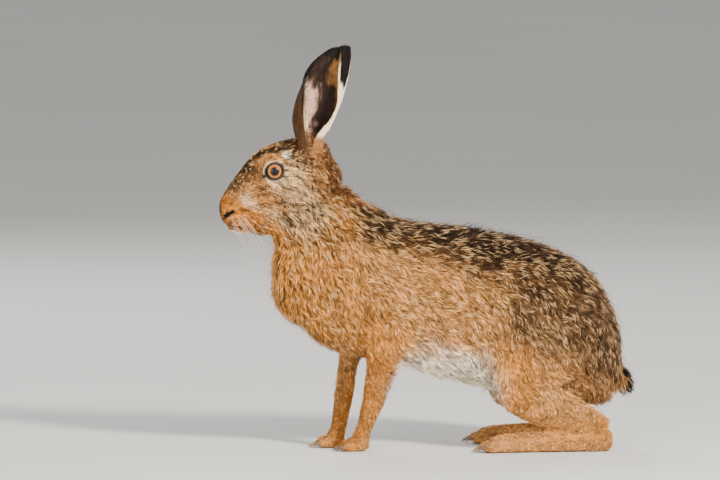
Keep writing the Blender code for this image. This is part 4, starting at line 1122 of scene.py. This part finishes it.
def skin_material():
    """The hide under the coat: the same markings, darkened as painted shade in the gaps between the tufts,
    mottled and with a fine fur grain in its bump.
    """
    material, tree, shader = new_material("hide")
    tone = add_fur_tone(tree, shader, HIDE_LOOK)
    grain = add_grain(tree, HIDE_GRAIN)
    bump = add_node(tree, "ShaderNodeBump", values=HIDE_BUMP)
    tree.links.new(grain, tone.inputs["Tone"])
    tree.links.new(grain, bump.inputs["Height"])
    tree.links.new(bump.outputs["Normal"], shader.inputs["Normal"])
    set_values(shader, HIDE_GLOSS)
    return material


def eye_material():
    """An amber iris with fine fibres round a dark pupil, dark at its outer edge, under a clear wet coat."""
    material, tree, shader = new_material("amber_eye")
    link = tree.links.new
    place = add_node(tree, "ShaderNodeTexCoord")
    x, _, z = EYE_MIDDLE
    centre = {"Location": (-x * MM, 0, -z * MM), "Scale": (1, 0, 1)}
    centred = add_node(tree, "ShaderNodeMapping", vector_type="POINT", values=centre)
    link(place.outputs["Object"], centred.inputs["Vector"])
    length = add_node(tree, "ShaderNodeVectorMath", operation="LENGTH")
    link(centred.outputs["Vector"], length.inputs[0])
    radius = add_node(tree, "ShaderNodeMath", operation="DIVIDE", values={1: IRIS_RADIUS * MM})
    link(length.outputs["Value"], radius.inputs[0])
    around = add_node(tree, "ShaderNodeVectorMath", operation="NORMALIZE")
    link(centred.outputs["Vector"], around.inputs[0])
    fibres = add_node(tree, "ShaderNodeTexNoise", values=IRIS_GRAIN)
    link(around.outputs["Vector"], fibres.inputs["Vector"])
    wobble = add_node(tree, "ShaderNodeMath", operation="MULTIPLY_ADD", values=IRIS_WOBBLE)
    link(fibres.outputs["Fac"], wobble.inputs[0])
    spot = add_node(tree, "ShaderNodeMath", operation="ADD")
    link(radius.outputs[0], spot.inputs[0])
    link(wobble.outputs[0], spot.inputs[1])
    link(add_ramp(tree, spot.outputs[0], EYE_RINGS_OF_COLOUR), shader.inputs["Base Color"])
    set_values(shader, EYE_GLOSS)
    set_values(shader, EYE_WET)
    return material


def plain_material(name, dark, light, scale, roughness, detail=3.0, ends=(0.3, 0.7)):
    """A finish that wanders between two colours."""
    material, tree, shader = new_material(name)
    colour = add_ramp(tree, add_grain(tree, scale, detail), ((ends[0], dark), (ends[1], light)))
    tree.links.new(colour, shader.inputs["Base Color"])
    set_values(shader, {"Roughness": roughness})
    return material


def make_eye(side, hand):
    """One eyeball, with its poles to the left and right."""
    deselect()
    x, out, z = EYE_MIDDLE
    bpy.ops.mesh.primitive_uv_sphere_add(
        segments=EYE_SEGMENTS,
        ring_count=EYE_RINGS,
        radius=EYE_RADIUS * MM,
        location=(x * MM, side * out * MM, z * MM),
        rotation=(math.radians(90), 0, 0),
    )
    ball = bpy.context.object
    bpy.ops.object.transform_apply(location=True, rotation=True, scale=True)
    ball.name = ball.data.name = f"eyeball_{hand}"
    bpy.ops.object.shade_smooth()
    return ball


def make_lid_rim(side, hand):
    """The dark rim of the lids, a soft ring that follows the opening over the eyeball."""
    deselect()
    bpy.ops.mesh.primitive_torus_add(
        major_segments=LID_SEGMENTS,
        minor_segments=LID_SIDES,
        major_radius=1.0,
        minor_radius=RING_THICKNESS,
    )
    rim = bpy.context.object
    half_long, half_high = EYE_OPENING
    x, out, z = EYE_MIDDLE
    lean = math.radians(EYE_LEAN)
    ring = coordinates(rim.data) * MM
    turn = np.arctan2(ring[:, 1], ring[:, 0])
    thick = (np.hypot(ring[:, 0], ring[:, 1]) - 1) / RING_THICKNESS
    rise = ring[:, 2] / RING_THICKNESS
    corner = np.maximum(-np.cos(turn), BACK_CORNER * np.cos(turn)) ** CORNER_SHARPNESS
    reach = 1 + LID_CORNER * corner
    across, up = half_long * np.cos(turn) * reach, half_high * np.sin(turn) * reach
    local_x = across * math.cos(lean) - up * math.sin(lean)
    local_z = across * math.sin(lean) + up * math.cos(lean)
    away = np.hypot(local_x, local_z)
    radial = away + thick * LID_RIM * (1 - CORNER_THINNING * corner)
    depth = np.sqrt((EYE_RADIUS + LID_LIFT) ** 2 - away**2) + rise * LID_RISE
    placed = np.stack((x + local_x / away * radial, side * (out + depth), z + local_z / away * radial), 1)
    set_coordinates(rim.data, placed)
    edit_all(bpy.ops.mesh.normals_make_consistent, inside=False)
    rim.name = rim.data.name = f"lid_rim_{hand}"
    bpy.ops.object.shade_smooth()
    return rim


def make_claw():
    """One claw along -X, bent down towards its point, with its root at the origin."""
    deselect()
    bpy.ops.mesh.primitive_cone_add(
        vertices=CLAW_SIDES,
        radius1=CLAW_RADIUS * MM,
        radius2=CLAW_TIP * MM,
        depth=CLAW_LENGTH * MM,
        location=(-CLAW_LENGTH * MM / 2, 0, 0),
        rotation=(0, math.radians(-90), 0),
    )
    claw = bpy.context.object
    bpy.ops.object.transform_apply(location=True, rotation=True, scale=True)
    edit_all(bpy.ops.mesh.subdivide, number_cuts=CLAW_CUTS)
    points = coordinates(claw.data)
    points[:, 1] *= CLAW_FLATNESS
    points[:, 2] -= CLAW_BEND * (points[:, 0] / CLAW_LENGTH) ** 2
    set_coordinates(claw.data, points)
    return claw


def make_claws(name, places):
    """A foot's claws, each a copy of one claw."""
    pattern = make_claw()
    droop = Matrix.Rotation(math.radians(-CLAW_DROOP), 4, "Y")
    pieces = []
    for place in places:
        mesh = pattern.data.copy()
        mesh.transform(Matrix.Translation(Vector(place) * MM) @ droop)
        pieces.append(link_object(name, mesh))
    bpy.data.objects.remove(pattern)
    claws = take(*pieces)
    bpy.ops.object.join()
    claws.name = claws.data.name = name
    bpy.ops.object.shade_smooth_by_angle(angle=math.radians(CLAW_EDGE))
    return claws


def claw_places(toe_x, toe_z, out, spread, side):
    """Where one foot's claws leave its toes, the outer toes set back."""
    return [(toe_x + TOE_SET_BACK * math.sqrt(abs(offset)), side * (out + offset), toe_z) for offset in spread]


def make_strands(name, roots, ways, lengths, droops, width):
    """Long single hairs: three-sided and tapering, each on a curve that droops to its tip."""
    steps = np.linspace(0, 1, STRAND_STEPS)
    down = np.array((0, 0, -1))
    corners, faces = [], []
    for root, way, length, droop in zip(roots, ways, lengths, droops):
        way = unit(np.array(way, float))
        line = [np.array(root) + (way * t + down * droop * t * t) * length for t in steps]
        side = unit(np.cross(way, -down))
        rise = np.cross(side, way)
        start = len(corners)
        for step, point in enumerate(line[:-1]):
            reach = width * (1 - STRAND_TAPER * steps[step])
            for angle in (90, 210, 330):
                turn = math.radians(angle)
                corners.append(point + (side * math.cos(turn) + rise * math.sin(turn)) * reach)
        corners.append(line[-1])
        for step in range(STRAND_STEPS - 2):
            ring, after = start + 3 * step, start + 3 * step + 3
            faces += [(ring + k, ring + (k + 1) % 3, after + (k + 1) % 3, after + k) for k in range(3)]
        last = start + 3 * (STRAND_STEPS - 2)
        faces += [(last + k, last + (k + 1) % 3, len(corners) - 1) for k in range(3)]
        faces.append((start + 2, start + 1, start))
    mesh = bpy.data.meshes.new(name)
    mesh.from_pydata([tuple(corner * MM) for corner in corners], [], faces)
    strands = take(link_object(name, mesh))
    edit_all(bpy.ops.mesh.normals_make_consistent, inside=False)
    bpy.ops.object.shade_smooth()
    return strands


def make_whiskers(side, hand):
    """The whiskers of one cheek, in rows on the upper lip."""
    draw = np.random.default_rng(WHISKER_SEED + side)
    x, out, z = WHISKER_START
    x_span, out_span, z_span = WHISKER_SPAN
    roots, ways, lengths, droops = [], [], [], []
    for row in range(WHISKER_ROWS):
        for place in range(WHISKERS_IN_ROW):
            back = place / (WHISKERS_IN_ROW - 1)
            height = z - WHISKER_ROW_DROP * row + z_span * back + draw.normal(0, WHISKER_SCATTER)
            roots.append((x + x_span * back, side * (out + out_span * back), height))
            back_way = WHISKER_BACK[0] + WHISKER_BACK[1] * back + draw.normal(0, WHISKER_WAVER)
            ways.append((back_way, side * draw.uniform(*WHISKER_OUT), WHISKER_DOWN[0] + WHISKER_DOWN[1] * row))
            lengths.append(draw.uniform(*WHISKER_LENGTHS))
            droops.append(draw.uniform(*WHISKER_DROOPS))
    return make_strands(f"whiskers_{hand}", roots, ways, lengths, droops, WHISKER_RADIUS)


def make_feelers(side, hand):
    """A few fine dark hairs that stand up over the eye and the bridge of the nose."""
    draw = np.random.default_rng(FEELER_SEED + side)
    roots = [(x, side * y, z) for x, y, z in FEELER_ROOTS]
    ways = [
        (FEELER_BACK + draw.normal(0, FEELER_WAVER), side * draw.uniform(*FEELER_OUT), FEELER_UP) for _ in roots
    ]
    lengths = [draw.uniform(*FEELER_LENGTHS) for _ in roots]
    droops = [draw.uniform(*FEELER_DROOPS) for _ in roots]
    return make_strands(f"feelers_{hand}", roots, ways, lengths, droops, FEELER_RADIUS)


# The studio, in metres: each light's place, width, power and colour
FLOOR_SIZE = 80
FLOOR_DARK, FLOOR_LIGHT = (0.60, 0.60, 0.585), (0.68, 0.68, 0.665)
LIGHTS = {
    "key_light": ((1.5, -2.5, 1.6), 0.5, 265, (1.0, 0.94, 0.85)),
    "fill_light": ((-1.6, -2.8, 0.6), 1.8, 95, (1.0, 0.97, 0.92)),
    "rim_light": ((-0.6, 2.4, 2.0), 1.6, 50, (1.0, 0.98, 0.95)),
}
LIGHT_TARGET = (0, 0, 0.2)
ROOM_LIGHT = {"Color": (1.0, 0.985, 0.96, 1), "Strength": 0.58}
FURTHEST_SEEN = 100


def make_floor():
    """The pale floor."""
    deselect()
    bpy.ops.mesh.primitive_plane_add(size=FLOOR_SIZE)
    floor = bpy.context.object
    floor.name = "studio_floor"
    material = plain_material("pale_floor", FLOOR_DARK, FLOOR_LIGHT, 1.5, 0.8, 2.0, (0.0, 1.0))
    floor.data.materials.append(material)


def aim_at(obj, place, target):
    """Puts a light or camera at a place, facing the target."""
    obj.location = Vector(place)
    obj.rotation_euler = (Vector(target) - Vector(place)).to_track_quat("-Z", "Y").to_euler()


def make_studio():
    """The floor, the lights and the light of the room."""
    make_floor()
    for name, (place, size, power, colour) in LIGHTS.items():
        light = bpy.data.lights.new(name, "AREA")
        light.size, light.energy, light.color = size, power, colour
        aim_at(link_object(name, light), place, LIGHT_TARGET)
    world = bpy.data.worlds.new("studio")
    bpy.context.scene.world = world
    world.use_nodes = True
    set_values(world.node_tree.nodes["Background"], ROOM_LIGHT)


def make_camera():
    """The camera, at the photograph's framing."""
    camera = bpy.data.cameras.new("camera")
    obj = link_object("camera", camera)
    turn, rise = math.radians(VIEW_TURN), math.radians(VIEW_RISE)
    back = Vector((math.sin(turn) * math.cos(rise), -math.cos(turn) * math.cos(rise), math.sin(rise)))
    target = Vector(VIEW_TARGET) * MM
    aim_at(obj, target + back * VIEW_DISTANCE * MM, target)
    camera.sensor_width = SENSOR
    camera.lens = SENSOR * VIEW_DISTANCE / VIEW_WIDTH
    camera.clip_end = FURTHEST_SEEN
    bpy.context.scene.camera = obj


make_camera()
make_studio()
hide = skin_material()
fur = fur_material()
skin.data.materials.clear()
skin.data.materials.append(hide)
skin_points, skin_normals = coordinates(skin.data), outward(skin.data)
skin_colours = colours_at(skin_points, skin_normals)[0]
# The bare ears' hide is lightened to undo the hide's painted shade
skin_colours[ear_places(skin_points, skin_normals)[0]] *= BARE_EAR_LIGHT
add_colour(skin.data, "markings", opaque(skin_colours))
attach(skin, "root")
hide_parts(*[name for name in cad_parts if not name.startswith("eye")])

for coat, region in make_coat():
    coat.data.materials.append(fur)
    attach(coat, "root")

eye_finish = eye_material()
rim_finish = plain_material("lid_rim_skin", (0.004, 0.003, 0.003), (0.014, 0.01, 0.008), 1400.0, 0.6)
claw_finish = plain_material("claw_horn", tint(58, 42, 32), tint(112, 88, 66), 500.0, 0.35)
whisker_finish = plain_material("whisker", tint(226, 206, 176), tint(252, 240, 222), 160.0, 0.4)
feeler_finish = plain_material("dark_hair", tint(40, 30, 24), tint(84, 64, 48), 160.0, 0.5)
for side, hand in SHOWN_SIDES:
    ball = make_eye(side, hand)
    ball.data.materials.append(eye_finish)
    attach(ball, "root")
    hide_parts(f"eye_{hand}")
    rim = make_lid_rim(side, hand)
    rim.data.materials.append(rim_finish)
    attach(rim, "root")
    whiskers, feelers = make_whiskers(side, hand), make_feelers(side, hand)
    for strands, finish in ((whiskers, whisker_finish), (feelers, feeler_finish)):
        strands.data.materials.append(finish)
        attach(strands, "root")
    fore_x, fore_out = FORE_TOES[hand]
    fore = claw_places(fore_x, FORETOE_Z, fore_out, FORETOES_OUT, side)
    hind = claw_places(HIND_TOE_X, HIND_TOE_Z, HIND_TOE_OUT, HIND_TOES_OUT, side)
    for name, places in ((f"fore_claws_{hand}", fore), (f"hind_claws_{hand}", hind)):
        claws = make_claws(name, places)
        claws.data.materials.append(claw_finish)
        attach(claws, "root")

deselect()
